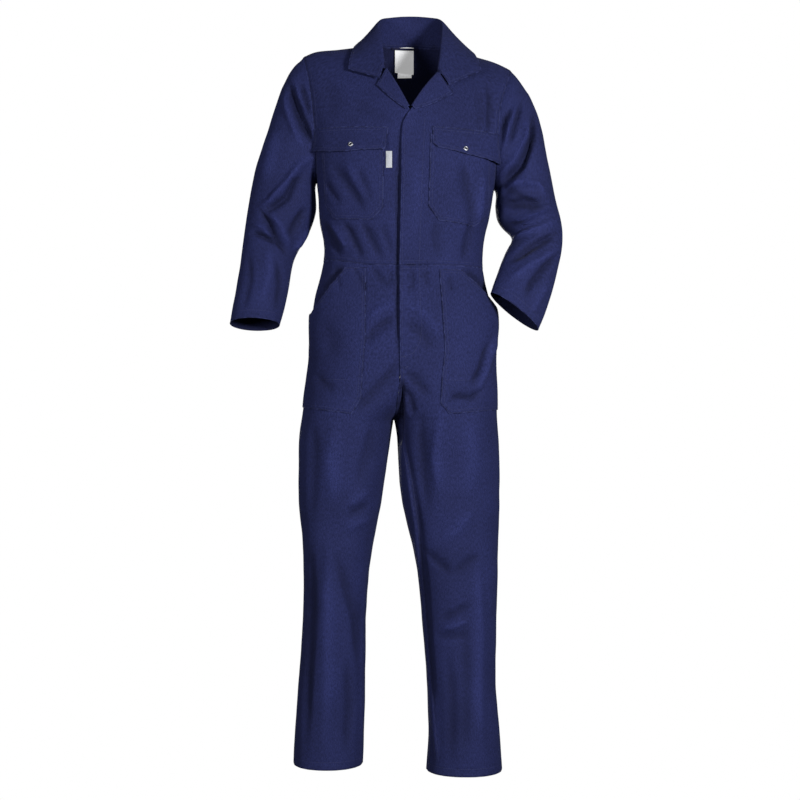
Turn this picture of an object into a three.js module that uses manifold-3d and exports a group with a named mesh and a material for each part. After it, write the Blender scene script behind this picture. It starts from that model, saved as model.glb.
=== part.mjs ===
// Navy work boiler suit, hollow and filled out as it is worn, with open neck, cuffs and trouser hems.
// Millimetres, +Z up. The front faces -Y and the wearer's right is at -X.
// The origin is the base of the neck, between the shoulders, where the wearer carries the garment.
import * as THREE from "three";
import { mergeVertices } from "three/addons/utils/BufferGeometryUtils.js";
import Module from "manifold-3d";

const wasm = await Module();
wasm.setup();

// Driving dimensions of the cloth
const CLOTH = 1.6; // wall of every panel
const SEAM = 0.4; // space between two panels at a seam
const SHOULDER_SEAM = 1; // the same on the sharper ridge of the shoulders
const LAYER = 0.5; // space under a pocket or flap that lies on a panel
const LABEL = 1; // wall of the labels and the loop
const SQUARE = 2.4; // roundness of the trunk's sections, 2 being an ellipse
const LEG_SQUARE = 2.2; // the same for the legs

// Heights of the garment
const WAIST = -470; // waist seam, at the middle of the front
const CROTCH = -800; // where the four trouser panels meet
const RISE_TOP = -640; // above this the rise seam is upright
const FLY_END = -667; // lowest point of the closure
const RIDGE_Y = 10; // the shoulder seams lie a little behind the middle of the sides
const UNDERLAP = 47; // width of the right front that lies under the left one
const LAP_LIFT = 2.8; // how far the left front stands over the right one there
const LAP_FADE = { from: 46, over: 22 }; // across, where that lift dies away
const SIDE_DEPTH = { front: 130, back: 120, leg: 110 }; // half depths that set the seams at the sides
const RIDGE_DEPTH = { front: 141, back: 106 }; // the same for the shoulder seams
const PAST_SIDE = 1000; // beyond any side seam
const CUT = { front: [-400, 20], back: [0, 300] }; // reach in depth of what cuts out a pocket or label

// Folds of the dome between underarm and shoulder, front and back
const FRONT_DOME = 1.9;
const BACK_DOME = 2.3;

// Trunk from the waist seam (level -1) over the underarm (0) to the shoulder seams (1):
// sides, closure line and the middle of front and back
const TRUNK = [
  { level: -1, right: -174, left: 170, centre: -10, front: -118, back: 100 },
  { level: -0.85, right: -172, left: 169, centre: -9, front: -121, back: 102 },
  { level: -0.7, right: -174, left: 171, centre: -8, front: -124, back: 105 },
  { level: -0.5, right: -182, left: 177, centre: -6, front: -128, back: 112 },
  { level: -0.28, right: -184, left: 187, centre: -4, front: -132, back: 119 },
  { level: 0, right: -188, left: 194, centre: 0, front: -135, back: 124 },
  { level: 0.2, right: -199, left: 206, centre: 2, front: -136, back: 126 },
  { level: 0.45, right: -212, left: 223, centre: 5, front: -136, back: 124 },
  { level: 0.75, right: -232, left: 245, centre: 7, front: -134, back: 119 },
  { level: 1, right: -250, left: 262, centre: 8, front: -131, back: 116 },
];

// Inner edge of each front: closure edge, then the lapel's roll line, then the neck seam
const FRONT_EDGE = [
  { level: -1, right: 37, left: -10 },
  { level: 0, right: 40, left: -6 },
  { level: 0.3, right: 36, left: -5 },
  { level: 0.33, right: 30, left: -4 },
  { level: 0.4, right: 12, left: 13 },
  { level: 0.73, right: -42, left: 77 },
  { level: 0.88, right: -58, left: 91 },
  { level: 1, right: -70, left: 97 },
];

// Armhole seam of each side
const ARMHOLE = [
  { level: 0, right: -188, left: 194 },
  { level: 0.1, right: -187, left: 195 },
  { level: 0.3, right: -187.5, left: 197 },
  { level: 0.45, right: -191.5, left: 199 },
  { level: 0.6, right: -195.5, left: 203 },
  { level: 0.75, right: -202, left: 213 },
  { level: 0.88, right: -209.5, left: 223 },
  { level: 1, right: -217, left: 230 },
];

// Height of the shoulder line, rising to the neck
const RIDGE = [
  { x: -260, z: -30 },
  { x: -217, z: -13 },
  { x: -190, z: -2 },
  { x: -137, z: 2 },
  { x: -97, z: 8 },
  { x: -70, z: 15 },
  { x: 14, z: 59 },
  { x: 97, z: 10 },
  { x: 141, z: -8 },
  { x: 195, z: -25 },
  { x: 230, z: -42 },
  { x: 270, z: -64 },
];
const NECK = { middle: 14, half: 84, dip: 0.1035 }; // the back neck curve, cut down into the back

// Trouser legs by height: outer side, front and back
const RIGHT_LEG = [
  { z: -470, outer: -174, front: -118, back: 100 },
  { z: -505, outer: -182, front: -119, back: 108 },
  { z: -542, outer: -194, front: -120, back: 118 },
  { z: -581, outer: -198, front: -120, back: 126 },
  { z: -631, outer: -199, front: -120, back: 132 },
  { z: -672, outer: -203, front: -120, back: 134 },
  { z: -724, outer: -212, front: -119, back: 132 },
  { z: -800, outer: -222, front: -114, back: 122 },
  { z: -835, outer: -227, front: -110, back: 117 },
  { z: -920, outer: -228.5, front: -101, back: 108 },
  { z: -985, outer: -226.5, front: -95, back: 100 },
  { z: -1026, outer: -222.5, front: -91, back: 94 },
  { z: -1100, outer: -218, front: -85, back: 88 },
  { z: -1188, outer: -217, front: -79, back: 86 },
  { z: -1261, outer: -220, front: -76, back: 86 },
  { z: -1348, outer: -227, front: -75, back: 85 },
  { z: -1447, outer: -234, front: -74, back: 82 },
  { z: -1538, outer: -239, front: -74, back: 78 },
];
const LEFT_LEG = [
  { z: -470, outer: 170, front: -118, back: 100 },
  { z: -505, outer: 176, front: -119, back: 108 },
  { z: -542, outer: 186, front: -120, back: 118 },
  { z: -581, outer: 194, front: -120, back: 126 },
  { z: -631, outer: 194, front: -120, back: 132 },
  { z: -672, outer: 197, front: -120, back: 134 },
  { z: -724, outer: 199.5, front: -119, back: 132 },
  { z: -800, outer: 202, front: -114, back: 122 },
  { z: -835, outer: 204.5, front: -110, back: 117 },
  { z: -920, outer: 206, front: -101, back: 108 },
  { z: -985, outer: 205.5, front: -95, back: 100 },
  { z: -1058, outer: 204, front: -88, back: 91 },
  { z: -1100, outer: 203.5, front: -85, back: 88 },
  { z: -1188, outer: 201, front: -79, back: 86 },
  { z: -1261, outer: 198.5, front: -76, back: 86 },
  { z: -1348, outer: 197.5, front: -75, back: 85 },
  { z: -1404, outer: 200.5, front: -74, back: 83 },
  { z: -1493, outer: 208, front: -74, back: 80 },
  { z: -1552, outer: 212.5, front: -74, back: 78 },
];

// Inseams of both legs below the crotch
const INSEAM = [
  { z: -800, right: -22.4, left: -21.6 },
  { z: -835, right: -28, left: -15 },
  { z: -920, right: -40, left: -11.5 },
  { z: -985, right: -49, left: -3 },
  { z: -1032, right: -60, left: 8 },
  { z: -1095, right: -71, left: 25 },
  { z: -1188, right: -81, left: 36 },
  { z: -1261, right: -83.5, left: 42 },
  { z: -1348, right: -84, left: 49 },
  { z: -1447, right: -86, left: 53.5 },
  { z: -1552, right: -88.5, left: 48 },
];

// The rise seam runs a little to the wearer's right as it goes under
const RISE_LINE = [
  { z: -470, x: -10 },
  { z: -660, x: -9 },
  { z: -726, x: -10 },
  { z: -800, x: -22 },
];

// Sleeve rings from the armhole to the cuff: their outer and inner points, the depth of their
// middle, half their size from front to back, and how far the front is raised
const RIGHT_SLEEVE = [
  { ring: 0, outerX: -217, outerZ: -13, innerX: -188.5, innerZ: -290, y: 2, half: 64, raise: 0 },
  { ring: 1, outerX: -238, outerZ: -32, innerX: -191, innerZ: -295, y: 2, half: 66, raise: 0 },
  { ring: 2, outerX: -254, outerZ: -59, innerX: -191.5, innerZ: -302, y: 2, half: 67, raise: 0 },
  { ring: 3, outerX: -274, outerZ: -109, innerX: -190.5, innerZ: -312, y: 2, half: 68, raise: 0 },
  { ring: 4, outerX: -288, outerZ: -153, innerX: -189, innerZ: -324, y: 2, half: 68, raise: 0 },
  { ring: 5, outerX: -303, outerZ: -200, innerX: -188, innerZ: -337, y: 2, half: 68, raise: 1 },
  { ring: 6, outerX: -320, outerZ: -250, innerX: -189, innerZ: -352, y: 2, half: 67, raise: 2 },
  { ring: 7, outerX: -332, outerZ: -298, innerX: -194, innerZ: -371, y: 3, half: 66, raise: 3 },
  { ring: 8, outerX: -339, outerZ: -338, innerX: -202, innerZ: -391, y: 4, half: 64, raise: 4 },
  { ring: 9, outerX: -343.5, outerZ: -375, innerX: -213, innerZ: -412, y: 4, half: 62, raise: 5 },
  { ring: 10, outerX: -348, outerZ: -412, innerX: -229, innerZ: -438, y: 1, half: 60, raise: 7 },
  { ring: 11, outerX: -351, outerZ: -450, innerX: -239, innerZ: -466, y: -6, half: 57, raise: 9 },
  { ring: 12, outerX: -356, outerZ: -487, innerX: -243.5, innerZ: -496, y: -14, half: 55, raise: 11 },
  { ring: 13, outerX: -362, outerZ: -524, innerX: -249, innerZ: -530, y: -24, half: 52, raise: 12 },
  { ring: 14, outerX: -368, outerZ: -560, innerX: -256, innerZ: -563, y: -33, half: 50, raise: 12 },
  { ring: 15, outerX: -373, outerZ: -594, innerX: -264, innerZ: -596, y: -42, half: 48, raise: 12 },
];
const LEFT_SLEEVE = [
  { ring: 0, outerX: 230, outerZ: -42, innerX: 194.5, innerZ: -306, y: 2, half: 64, raise: 0 },
  { ring: 1, outerX: 241, outerZ: -52, innerX: 197, innerZ: -311, y: 2, half: 65, raise: 0 },
  { ring: 2, outerX: 258, outerZ: -75, innerX: 197.5, innerZ: -318, y: 2, half: 66, raise: 0 },
  { ring: 3, outerX: 282, outerZ: -117, innerX: 197, innerZ: -328, y: 2, half: 68, raise: 0 },
  { ring: 4, outerX: 296, outerZ: -160, innerX: 196, innerZ: -339, y: 2, half: 68, raise: 0 },
  { ring: 5, outerX: 304, outerZ: -202, innerX: 196, innerZ: -351, y: 2, half: 68, raise: 1 },
  { ring: 6, outerX: 313, outerZ: -246, innerX: 198, innerZ: -364, y: 1, half: 67, raise: 2 },
  { ring: 7, outerX: 322, outerZ: -289, innerX: 204, innerZ: -378, y: 0, half: 66, raise: 3 },
  { ring: 8, outerX: 331, outerZ: -331, innerX: 214, innerZ: -391, y: -1, half: 64, raise: 5 },
  { ring: 9, outerX: 340, outerZ: -368, innerX: 224, innerZ: -400, y: -4, half: 61, raise: 8 },
  { ring: 10, outerX: 343, outerZ: -400, innerX: 227, innerZ: -411, y: -10, half: 57, raise: 12 },
  { ring: 11, outerX: 341, outerZ: -430, innerX: 223, innerZ: -425, y: -19, half: 53, raise: 15 },
  { ring: 12, outerX: 335, outerZ: -461, innerX: 215, innerZ: -441, y: -30, half: 49, raise: 16 },
  { ring: 13, outerX: 327, outerZ: -492, innerX: 207, innerZ: -459, y: -41, half: 45, raise: 16 },
  { ring: 14, outerX: 316, outerZ: -528, innerX: 199, innerZ: -480, y: -53, half: 41, raise: 14 },
  { ring: 15, outerX: 302, outerZ: -567, innerX: 190, innerZ: -504, y: -65, half: 37, raise: 12 },
  { ring: 16, outerX: 284, outerZ: -609, innerX: 181, innerZ: -531, y: -76, half: 34, raise: 10 },
];
const HEAD_RINGS = 3; // rings over which the sleeve takes its own shape from the armhole's

// Collar from the wearer's right end round the back to the left end. Each station gives the neck
// seam, the fold line, the middle of the fall and the fall's edge.
const COLLAR = [
  { at: 0, seam: [-43, -78, -56], fold: [-41, -89, -49], fall: [-32, -104, -105], edge: [-114, -76, -60] },
  { at: 1, seam: [-56, -46, -20], fold: [-49, -48, 12], fall: [-68, -60, -14], edge: [-112, -62, -34] },
  { at: 2, seam: [-66, 8, 16], fold: [-54, 12, 66], fall: [-74, 12, 42], edge: [-98, 4, 15] },
  { at: 3, seam: [-36, 52, 22], fold: [-32, 55, 85], fall: [-48, 70, 56], edge: [-62, 64, 14] },
  { at: 4, seam: [14, 64, 24], fold: [14, 66, 91], fall: [14, 84, 60], edge: [14, 86, 18] },
  { at: 5, seam: [62, 52, 21], fold: [60, 55, 85], fall: [78, 70, 54], edge: [96, 62, 10] },
  { at: 6, seam: [93, 8, 12], fold: [83, 12, 65], fall: [106, 12, 36], edge: [140, 4, 0] },
  { at: 7, seam: [84, -46, -30], fold: [79, -50, 2], fall: [106, -60, -24], edge: [155, -50, -36] },
  { at: 8, seam: [72, -82, -70], fold: [71, -91, -64], fall: [78, -108, -124], edge: [160, -66, -60] },
];
// The notches: where the collar's ends turn from the fold line to the fall's edge
const COLLAR_NOTCH = { right: [-48.5, -93, -84], left: [92.5, -94, -98] };
const COLLAR_REST = 8.5; // the fall lies at least this far off the panels below it
const COLLAR_FOLD = 3.5; // radius of the fold at the top

// Lapels: the stretch of the front edge that is the roll line, the tip, the low end of the outer
// edge, and how far that edge is bowed
const ROLL = { low: 0.42, high: 0.7 };
const LAPELS = {
  right: { lowEdge: [3, -153.5], tip: [-57, -99], bow: 3 },
  left: { lowEdge: [23, -154], tip: [103, -115], bow: 5 },
};
// The turn of the cloth from behind the roll line to the lapel's edge
const LAPEL_TURN = [
  { across: 0, beyond: 2.9, lift: -1.4, spread: 0 },
  { across: 0.1, beyond: 3.7, lift: 1.4, spread: 0 },
  { across: 0.2, beyond: 2.2, lift: 4.2, spread: 0 },
  { across: 0.35, beyond: 0, lift: 5.4, spread: 0.06 },
  { across: 0.7, beyond: 0, lift: 4.6, spread: 0.55 },
  { across: 1, beyond: 0, lift: 4, spread: 1 },
];

// Outlines of what is sewn on the fronts, as [x, z] corners seen from the front
const OUTLINES = {
  chest_pocket_right: [
    [-174, -205], [-41.5, -205], [-43, -358], [-67.5, -382.5], [-145.5, -377], [-165, -346],
  ],
  chest_pocket_left: [
    [54.5, -205], [181, -205], [179, -366], [146, -391], [72, -383], [50, -354],
  ],
  chest_flap_right: [
    [-200, -182.5], [-32, -190.5], [-38.5, -239], [-110, -240], [-150, -237], [-200, -226],
  ],
  chest_flap_left: [
    [58.5, -188.5], [210, -194], [210, -257], [130, -245], [69, -233.5], [59.5, -226],
  ],
  hip_pocket_right: [
    [-123, -478.5], [-79, -479.5], [-79.5, -614], [-89, -751], [-109, -785], [-240, -769], [-240, -592],
    [-191, -571],
  ],
  hip_pocket_left: [
    [120, -482.5], [73, -483], [80, -579], [85, -650], [78, -712], [75.5, -763], [94.5, -785],
    [240, -774], [240, -592], [197, -571],
  ],
};
const POCKET_GAPE = { right: 5, left: 9 }; // how far the hip pockets' mouths stand off
const GAPE_REACH = 70;

const STUDS = {
  right: [-109.5, -226.5], left: [126.5, -233.5], radius: 5.6, height: 2.2, hole: 2.2, sink: 0.15,
};
const NECK_LABEL = { x: [-21, 22], top: 26, low: [-29, -33] };
const UNDER_LABEL = { x: [-14, 17], top: 24, low: [-41, -40] };
const TAB = { x: [-37.5, -25], z: [-241.5, -276] };
const LOOP = { ends: [-27, 31], z: 15, bow: 5.6, flatness: 0.5, height: 5, back: 4.3 };

// The large soft folds: a line from one point to another as [x, z], its width and its depth,
// a hollow where the depth is below zero
const BODY_FOLDS = [
  { face: "front", from: [-150, -215], to: [-95, -370], width: 16, depth: -4 },
  { face: "front", from: [-118, -205], to: [-62, -345], width: 14, depth: 3 },
  { face: "front", from: [150, -240], to: [95, -385], width: 18, depth: -4 },
  { face: "front", from: [-95, -395], to: [-30, -455], width: 16, depth: -5 },
  { face: "front", from: [75, -405], to: [140, -440], width: 15, depth: -5 },
  { face: "back", from: [-120, -80], to: [-40, -300], width: 24, depth: -5 },
  { face: "back", from: [130, -100], to: [50, -320], width: 24, depth: -5 },
  { face: "back", from: [-110, -420], to: [30, -445], width: 16, depth: -6 },
  { face: "back", from: [30, -400], to: [130, -435], width: 16, depth: -5 },
];
const LEG_FOLDS = [
  { leg: "right", face: "front", from: [-190, -1000], to: [-100, -1055], width: 20, depth: -5 },
  { leg: "right", face: "front", from: [-105, -1090], to: [-190, -1130], width: 20, depth: -5 },
  { leg: "right", face: "front", from: [-175, -1190], to: [-190, -1480], width: 18, depth: 5 },
  { leg: "right", face: "front", from: [-125, -1150], to: [-130, -1500], width: 18, depth: -5 },
  { leg: "left", face: "front", from: [60, -1020], to: [150, -1060], width: 20, depth: -5 },
  { leg: "left", face: "front", from: [70, -1135], to: [160, -1100], width: 20, depth: -5 },
  { leg: "left", face: "front", from: [120, -1180], to: [135, -1500], width: 18, depth: 5 },
  { leg: "right", face: "back", from: [-190, -860], to: [-80, -820], width: 24, depth: -7 },
  { leg: "left", face: "back", from: [170, -860], to: [60, -820], width: 24, depth: -7 },
  { leg: "right", face: "back", from: [-200, -1110], to: [-100, -1085], width: 20, depth: -7 },
  { leg: "left", face: "back", from: [180, -1105], to: [60, -1080], width: 20, depth: -7 },
  { leg: "right", face: "back", from: [-150, -1180], to: [-165, -1480], width: 20, depth: 5 },
  { leg: "left", face: "back", from: [120, -1200], to: [130, -1480], width: 20, depth: 5 },
];
// Sleeve folds run round the sleeve: a place along it in rings, a place round it in turns from the
// outside by the front, how far they reach each way, their slant in rings, and their depth
const SLEEVE_FOLDS = [
  { side: "right", ring: 8.6, turn: 0.3, rings: 0.8, turns: 0.24, slant: 4, depth: -8 },
  { side: "right", ring: 10.2, turn: 0.36, rings: 0.7, turns: 0.2, slant: -3, depth: -7 },
  { side: "right", ring: 4, turn: 0.16, rings: 3.4, turns: 0.05, slant: 14, depth: -7 },
  { side: "right", ring: 9.2, turn: 0.68, rings: 0.8, turns: 0.22, slant: -3, depth: -6 },
  { side: "left", ring: 3.6, turn: 0.25, rings: 0.9, turns: 0.22, slant: 9, depth: -9 },
  { side: "left", ring: 5.6, turn: 0.3, rings: 0.9, turns: 0.22, slant: 3, depth: 6 },
  { side: "left", ring: 9.4, turn: 0.32, rings: 0.8, turns: 0.22, slant: 3, depth: -8 },
  { side: "left", ring: 11.4, turn: 0.28, rings: 0.8, turns: 0.2, slant: -4, depth: -6 },
  { side: "left", ring: 9.6, turn: 0.7, rings: 0.8, turns: 0.2, slant: 2, depth: -6 },
];

const COLOURS = { cloth: 0x2b2d59, inside: 0x23254a, label: 0xe9e9ea, loop: 0x1d2040, metal: 0xb9bcc2 };

// Numbers
const clamp = (value, low, high) => Math.min(Math.max(value, low), high);
const mix = (from, to, share) => from + (to - from) * share;
const smooth = (value) => {
  const share = clamp(value, 0, 1);
  return share * share * (3 - 2 * share);
};
const signedPower = (value, power) => Math.sign(value) * Math.abs(value) ** power;

// The table's interval that holds a place
function interval(table, key, at) {
  const last = table.length - 1;
  const way = Math.sign(table[last][key] - table[0][key]);
  let row = 0;
  while (row < last - 1 && way * table[row + 1][key] <= way * at) row += 1;
  const span = table[row + 1][key] - table[row][key];
  return { row, share: clamp((at - table[row][key]) / span, 0, 1), span };
}

// A column read between rows along straight lines
function straight(table, key, at, column) {
  const { row, share } = interval(table, key, at);
  return mix(table[row][column], table[row + 1][column], share);
}

// A column, a number or a point, read between rows along smooth curves
function curved(table, key, at, column) {
  const { row, share, span } = interval(table, key, at);
  const value = (index, axis) => (axis === undefined ? table[index][column] : table[index][column][axis]);
  const slope = (index, axis) => {
    const before = Math.max(index - 1, 0);
    const after = Math.min(index + 1, table.length - 1);
    return (value(after, axis) - value(before, axis)) / (table[after][key] - table[before][key]);
  };
  const between = (axis) => {
    const from = value(row, axis);
    const to = value(row + 1, axis);
    const rise = share * share * (3 - 2 * share);
    const leave = share * (1 - share) ** 2 * span * slope(row, axis);
    const arrive = share * share * (share - 1) * span * slope(row + 1, axis);
    return mix(from, to, rise) + leave + arrive;
  };
  return Array.isArray(table[row][column]) ? [0, 1, 2].map(between) : between();
}

// How far a fold moves the cloth out at [x, z]
function foldAt(folds, x, z) {
  let moved = 0;
  for (const { from, to, width, depth } of folds) {
    const along = [to[0] - from[0], to[1] - from[1]];
    const length = Math.hypot(...along);
    const share = ((x - from[0]) * along[0] + (z - from[1]) * along[1]) / length ** 2;
    const aside = Math.abs((x - from[0]) * along[1] - (z - from[1]) * along[0]) / length;
    const ends = smooth(share * 3 + 0.5) * smooth((1 - share) * 3 + 0.5);
    moved += depth * Math.exp(-((aside / width) ** 2)) * ends;
  }
  return moved;
}

// Trunk
const underarm = (x) => -297 - 0.04 * x;
const waistSeam = (x) => -475 + 15 * smooth((-60 - x) / 115);
const bulge = (share, power) => (1 - Math.min(Math.abs(share), 1) ** power) ** (1 / power);
const neckBow = (x) => Math.max(0, 1 - ((x - NECK.middle) / NECK.half) ** 2);
const neckTop = (x) => 1 - NECK.dip * neckBow(x) ** 1.25;

function trunkRow(level) {
  const row = {};
  for (const column of ["right", "left", "centre", "front", "back"]) {
    row[column] = curved(TRUNK, "level", level, column);
  }
  return row;
}

function trunkHeight(x, level) {
  const middle = underarm(x);
  return level > 0 ? mix(middle, curved(RIDGE, "x", x, "z"), level) : mix(middle, waistSeam(x), -level);
}

function trunkLevel(x, z) {
  const middle = underarm(x);
  const top = curved(RIDGE, "x", x, "z");
  return z > middle ? (z - middle) / (top - middle) : (z - middle) / (middle - waistSeam(x));
}

// Depth of the trunk's front or back at a place across it
function trunkDepth(face, x, level) {
  const row = trunkRow(level);
  const half = x < row.centre ? row.centre - row.right : row.left - row.centre;
  const dome = face === "front" ? FRONT_DOME : BACK_DOME;
  const fullness = level > 0 ? (1 - Math.min(level, 1) ** dome) ** (1 / dome) : 1;
  const side = RIDGE_Y * smooth(level);
  const shape = bulge((x - row.centre) / half, SQUARE) * fullness;
  const folds = BODY_FOLDS.filter((fold) => fold.face === face);
  const out = foldAt(folds, x, trunkHeight(x, level)) * smooth(shape * 2.5);
  const depth = mix(side, row[face], shape);
  return face === "front" ? depth - out : depth + out;
}

// The angle round the trunk at which a place across it lies, from the middle toward either side
function trunkAngle(x, level) {
  const row = trunkRow(level);
  const half = x < row.centre ? row.centre - row.right : row.left - row.centre;
  return Math.asin(clamp(signedPower((x - row.centre) / half, SQUARE / 2), -1, 1));
}

function trunkPoint(face, angle, level) {
  const row = trunkRow(level);
  const across = signedPower(Math.sin(angle), 2 / SQUARE);
  const x = row.centre + across * (angle < 0 ? row.centre - row.right : row.left - row.centre);
  const cut = face === "back" && level > 0 ? level * neckTop(x) : level;
  return new THREE.Vector3(x, trunkDepth(face, x, cut), trunkHeight(x, cut));
}

// How far the left front stands over the right one, seen at [x, z]
function lapLift(x, z) {
  const aside = 1 - smooth((x - LAP_FADE.from) / LAP_FADE.over);
  const below = smooth((z - (FLY_END - 75)) / 35);
  return LAP_LIFT * aside * below;
}

// The angle short of a side seam that leaves half the seam's space
const seamAngle = (depth) => Math.acos((SEAM / 2 / depth) ** (SQUARE / 2));

// The level short of the shoulder seam that leaves half its space
const shoulderLevel = (depth, dome) => (1 - (SHOULDER_SEAM / 2 / depth) ** dome) ** (1 / dome);

// Legs
function legRow(leg, z) {
  const table = leg === "right" ? RIGHT_LEG : LEFT_LEG;
  const outer = curved(table, "z", z, "outer");
  const way = Math.sign(outer);
  const rise = curved(RISE_LINE, "z", z, "x") + (way * SEAM) / 2;
  let half = (outer - curved(INSEAM, "z", z, leg)) / 2;
  if (z > CROTCH) {
    const join = clamp((RISE_TOP - z) / (RISE_TOP - CROTCH), 0, 1) ** 1.4;
    half = (outer - rise) / (1 + join);
  }
  const front = curved(table, "z", z, "front");
  const back = curved(table, "z", z, "back");
  const power = mix(SQUARE, LEG_SQUARE, smooth((WAIST - z) / 300));
  return { centre: outer - half, half, front, back, power, rise };
}

function legDepth(leg, face, x, z) {
  const row = legRow(leg, z);
  const shape = bulge((x - row.centre) / row.half, row.power);
  const folds = LEG_FOLDS.filter((fold) => fold.leg === leg && fold.face === face);
  const out = foldAt(folds, x, z) * smooth(shape * 2);
  return row[face] * shape + (face === "front" ? -out : out);
}

function legPoint(leg, face, angle, z) {
  const row = legRow(leg, z);
  const x = row.centre + row.half * signedPower(Math.sin(angle), 2 / row.power);
  const crossed = z > FLY_END - 60 && (x - row.rise) * Math.sign(row.half) < 0;
  const owner = crossed ? (leg === "right" ? "left" : "right") : leg;
  const warp = smooth((z - (WAIST - 90)) / 90) * (waistSeam(x) - WAIST);
  return new THREE.Vector3(x, legDepth(owner, face, x, z), z + warp);
}

function legAngle(leg, x, z) {
  const row = legRow(leg, z);
  return Math.asin(clamp(signedPower((x - row.centre) / row.half, row.power / 2), -1, 1));
}

// Sleeves
const sleeves = {
  right: { rings: RIGHT_SLEEVE, way: -1 },
  left: { rings: LEFT_SLEEVE, way: 1 },
};

// The armhole seam, turning from the shoulder by the front to the underarm and by the back
function armholePoint(side, turn) {
  const level = (1 + Math.cos(turn)) / 2;
  const face = Math.sin(turn) > 0 ? "front" : "back";
  const x = curved(ARMHOLE, "level", level, side);
  return new THREE.Vector3(x, trunkDepth(face, x, level), trunkHeight(x, level));
}

function ringPoint(side, turn, ring) {
  const read = (column) => curved(sleeves[side].rings, "ring", ring, column);
  const outward = Math.cos(turn);
  const forward = Math.sin(turn);
  return new THREE.Vector3(
    mix(read("innerX"), read("outerX"), (1 + outward) / 2),
    read("y") - forward * read("half"),
    mix(read("innerZ"), read("outerZ"), (1 + outward) / 2) + forward * read("raise"),
  );
}

function sleeveFold(side, turn, ring) {
  let moved = 0;
  for (const fold of SLEEVE_FOLDS.filter((each) => each.side === side)) {
    const round = (turn / (2 * Math.PI) - fold.turn) / fold.turns;
    const along = (ring - fold.ring - fold.slant * (turn / (2 * Math.PI) - fold.turn)) / fold.rings;
    moved += fold.depth * Math.exp(-(round ** 2) - along ** 2);
  }
  return moved;
}

function sleevePoint(side, turn, ring) {
  const { way } = sleeves[side];
  const point = ringPoint(side, turn, ring);
  const head = (1 - Math.min(ring / HEAD_RINGS, 1)) ** 2;
  const seam = armholePoint(side, turn).sub(ringPoint(side, turn, 0));
  seam.x += way * 2 * SEAM;
  point.addScaledVector(seam, head);
  const middle = ringPoint(side, 0, ring).add(ringPoint(side, Math.PI, ring)).multiplyScalar(0.5);
  const outward = point.clone().sub(middle).normalize();
  return point.addScaledVector(outward, sleeveFold(side, turn, ring) * (1 - head));
}

// Closed wall over a grid of places on a surface, from one offset to another along its normals.
// The surface's normal is the cross product of its two ways. A wrapped wall is a tube across.
const STEP = 1e-3;

function normalAt(surface, across, along) {
  const way = (first, second) => second.sub(first);
  const u = way(surface(across - STEP, along), surface(across + STEP, along));
  const v = way(surface(across, along - STEP), surface(across, along + STEP));
  return u.cross(v).normalize();
}

function wall(surface, columns, rows, { inner = -CLOTH, outer = 0, wrapped = false } = {}) {
  const positions = [];
  const width = columns.length;
  const place = (layer, row, column) => (layer * rows.length + row) * width + (column % width);
  for (const offset of [outer, inner]) {
    for (const along of rows) {
      for (const across of columns) {
        const point = surface(across, along);
        const amount = typeof offset === "function" ? offset(point) : offset;
        positions.push(...point.addScaledVector(normalAt(surface, across, along), amount).toArray());
      }
    }
  }
  const index = [];
  const quad = (a, b, c, d) => index.push(a, b, c, a, c, d);
  const cells = wrapped ? width : width - 1;
  for (let row = 0; row < rows.length - 1; row += 1) {
    for (let column = 0; column < cells; column += 1) {
      const corners = (layer) => [
        place(layer, row, column), place(layer, row, column + 1),
        place(layer, row + 1, column + 1), place(layer, row + 1, column),
      ];
      const [a, b, c, d] = corners(1);
      quad(...corners(0));
      quad(a, d, c, b);
    }
  }
  for (let column = 0; column < cells; column += 1) {
    const top = rows.length - 1;
    quad(place(1, 0, column), place(1, 0, column + 1), place(0, 0, column + 1), place(0, 0, column));
    quad(place(0, top, column), place(0, top, column + 1), place(1, top, column + 1), place(1, top, column));
  }
  for (let row = 0; row < rows.length - 1 && !wrapped; row += 1) {
    const end = width - 1;
    quad(place(0, row, 0), place(0, row + 1, 0), place(1, row + 1, 0), place(1, row, 0));
    quad(place(1, row, end), place(1, row + 1, end), place(0, row + 1, end), place(0, row, end));
  }
  const geometry = new THREE.BufferGeometry();
  geometry.setAttribute("position", new THREE.Float32BufferAttribute(positions, 3));
  geometry.setIndex(index);
  return geometry;
}

const evenly = (from, to, count) => Array.from({ length: count + 1 }, (_, i) => mix(from, to, i / count));

// Booleans
function toSolid(geometry) {
  const bare = geometry.clone();
  bare.deleteAttribute("normal");
  bare.deleteAttribute("uv");
  const merged = mergeVertices(bare, 1e-4);
  return new wasm.Manifold(
    new wasm.Mesh({
      numProp: 3,
      vertProperties: new Float32Array(merged.attributes.position.array),
      triVerts: new Uint32Array(merged.index.array),
    }),
  );
}

function fromSolid(solid) {
  const { vertProperties, triVerts } = solid.getMesh();
  const geometry = new THREE.BufferGeometry();
  geometry.setAttribute("position", new THREE.BufferAttribute(vertProperties, 3));
  geometry.setIndex(new THREE.BufferAttribute(triVerts, 1));
  return geometry;
}

// The stretch of a wall that lies inside an outline of [x, z] corners, between two depths
function cutOut(geometry, outline, [from, to]) {
  const shape = new THREE.Shape(outline.map(([x, z]) => new THREE.Vector2(x, z)));
  const prism = new THREE.ExtrudeGeometry(shape, { depth: to - from, bevelEnabled: false });
  prism.rotateX(Math.PI / 2).translate(0, to, 0);
  return fromSolid(toSolid(geometry).intersect(toSolid(prism)));
}

const boiler_suit = new THREE.Group();
const finishes = {
  cloth: { color: COLOURS.cloth, roughness: 0.9, metalness: 0 },
  label: { color: COLOURS.label, roughness: 0.85, metalness: 0 },
  loop: { color: COLOURS.loop, roughness: 0.9, metalness: 0 },
  metal: { color: COLOURS.metal, roughness: 0.3, metalness: 1 },
};

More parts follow.
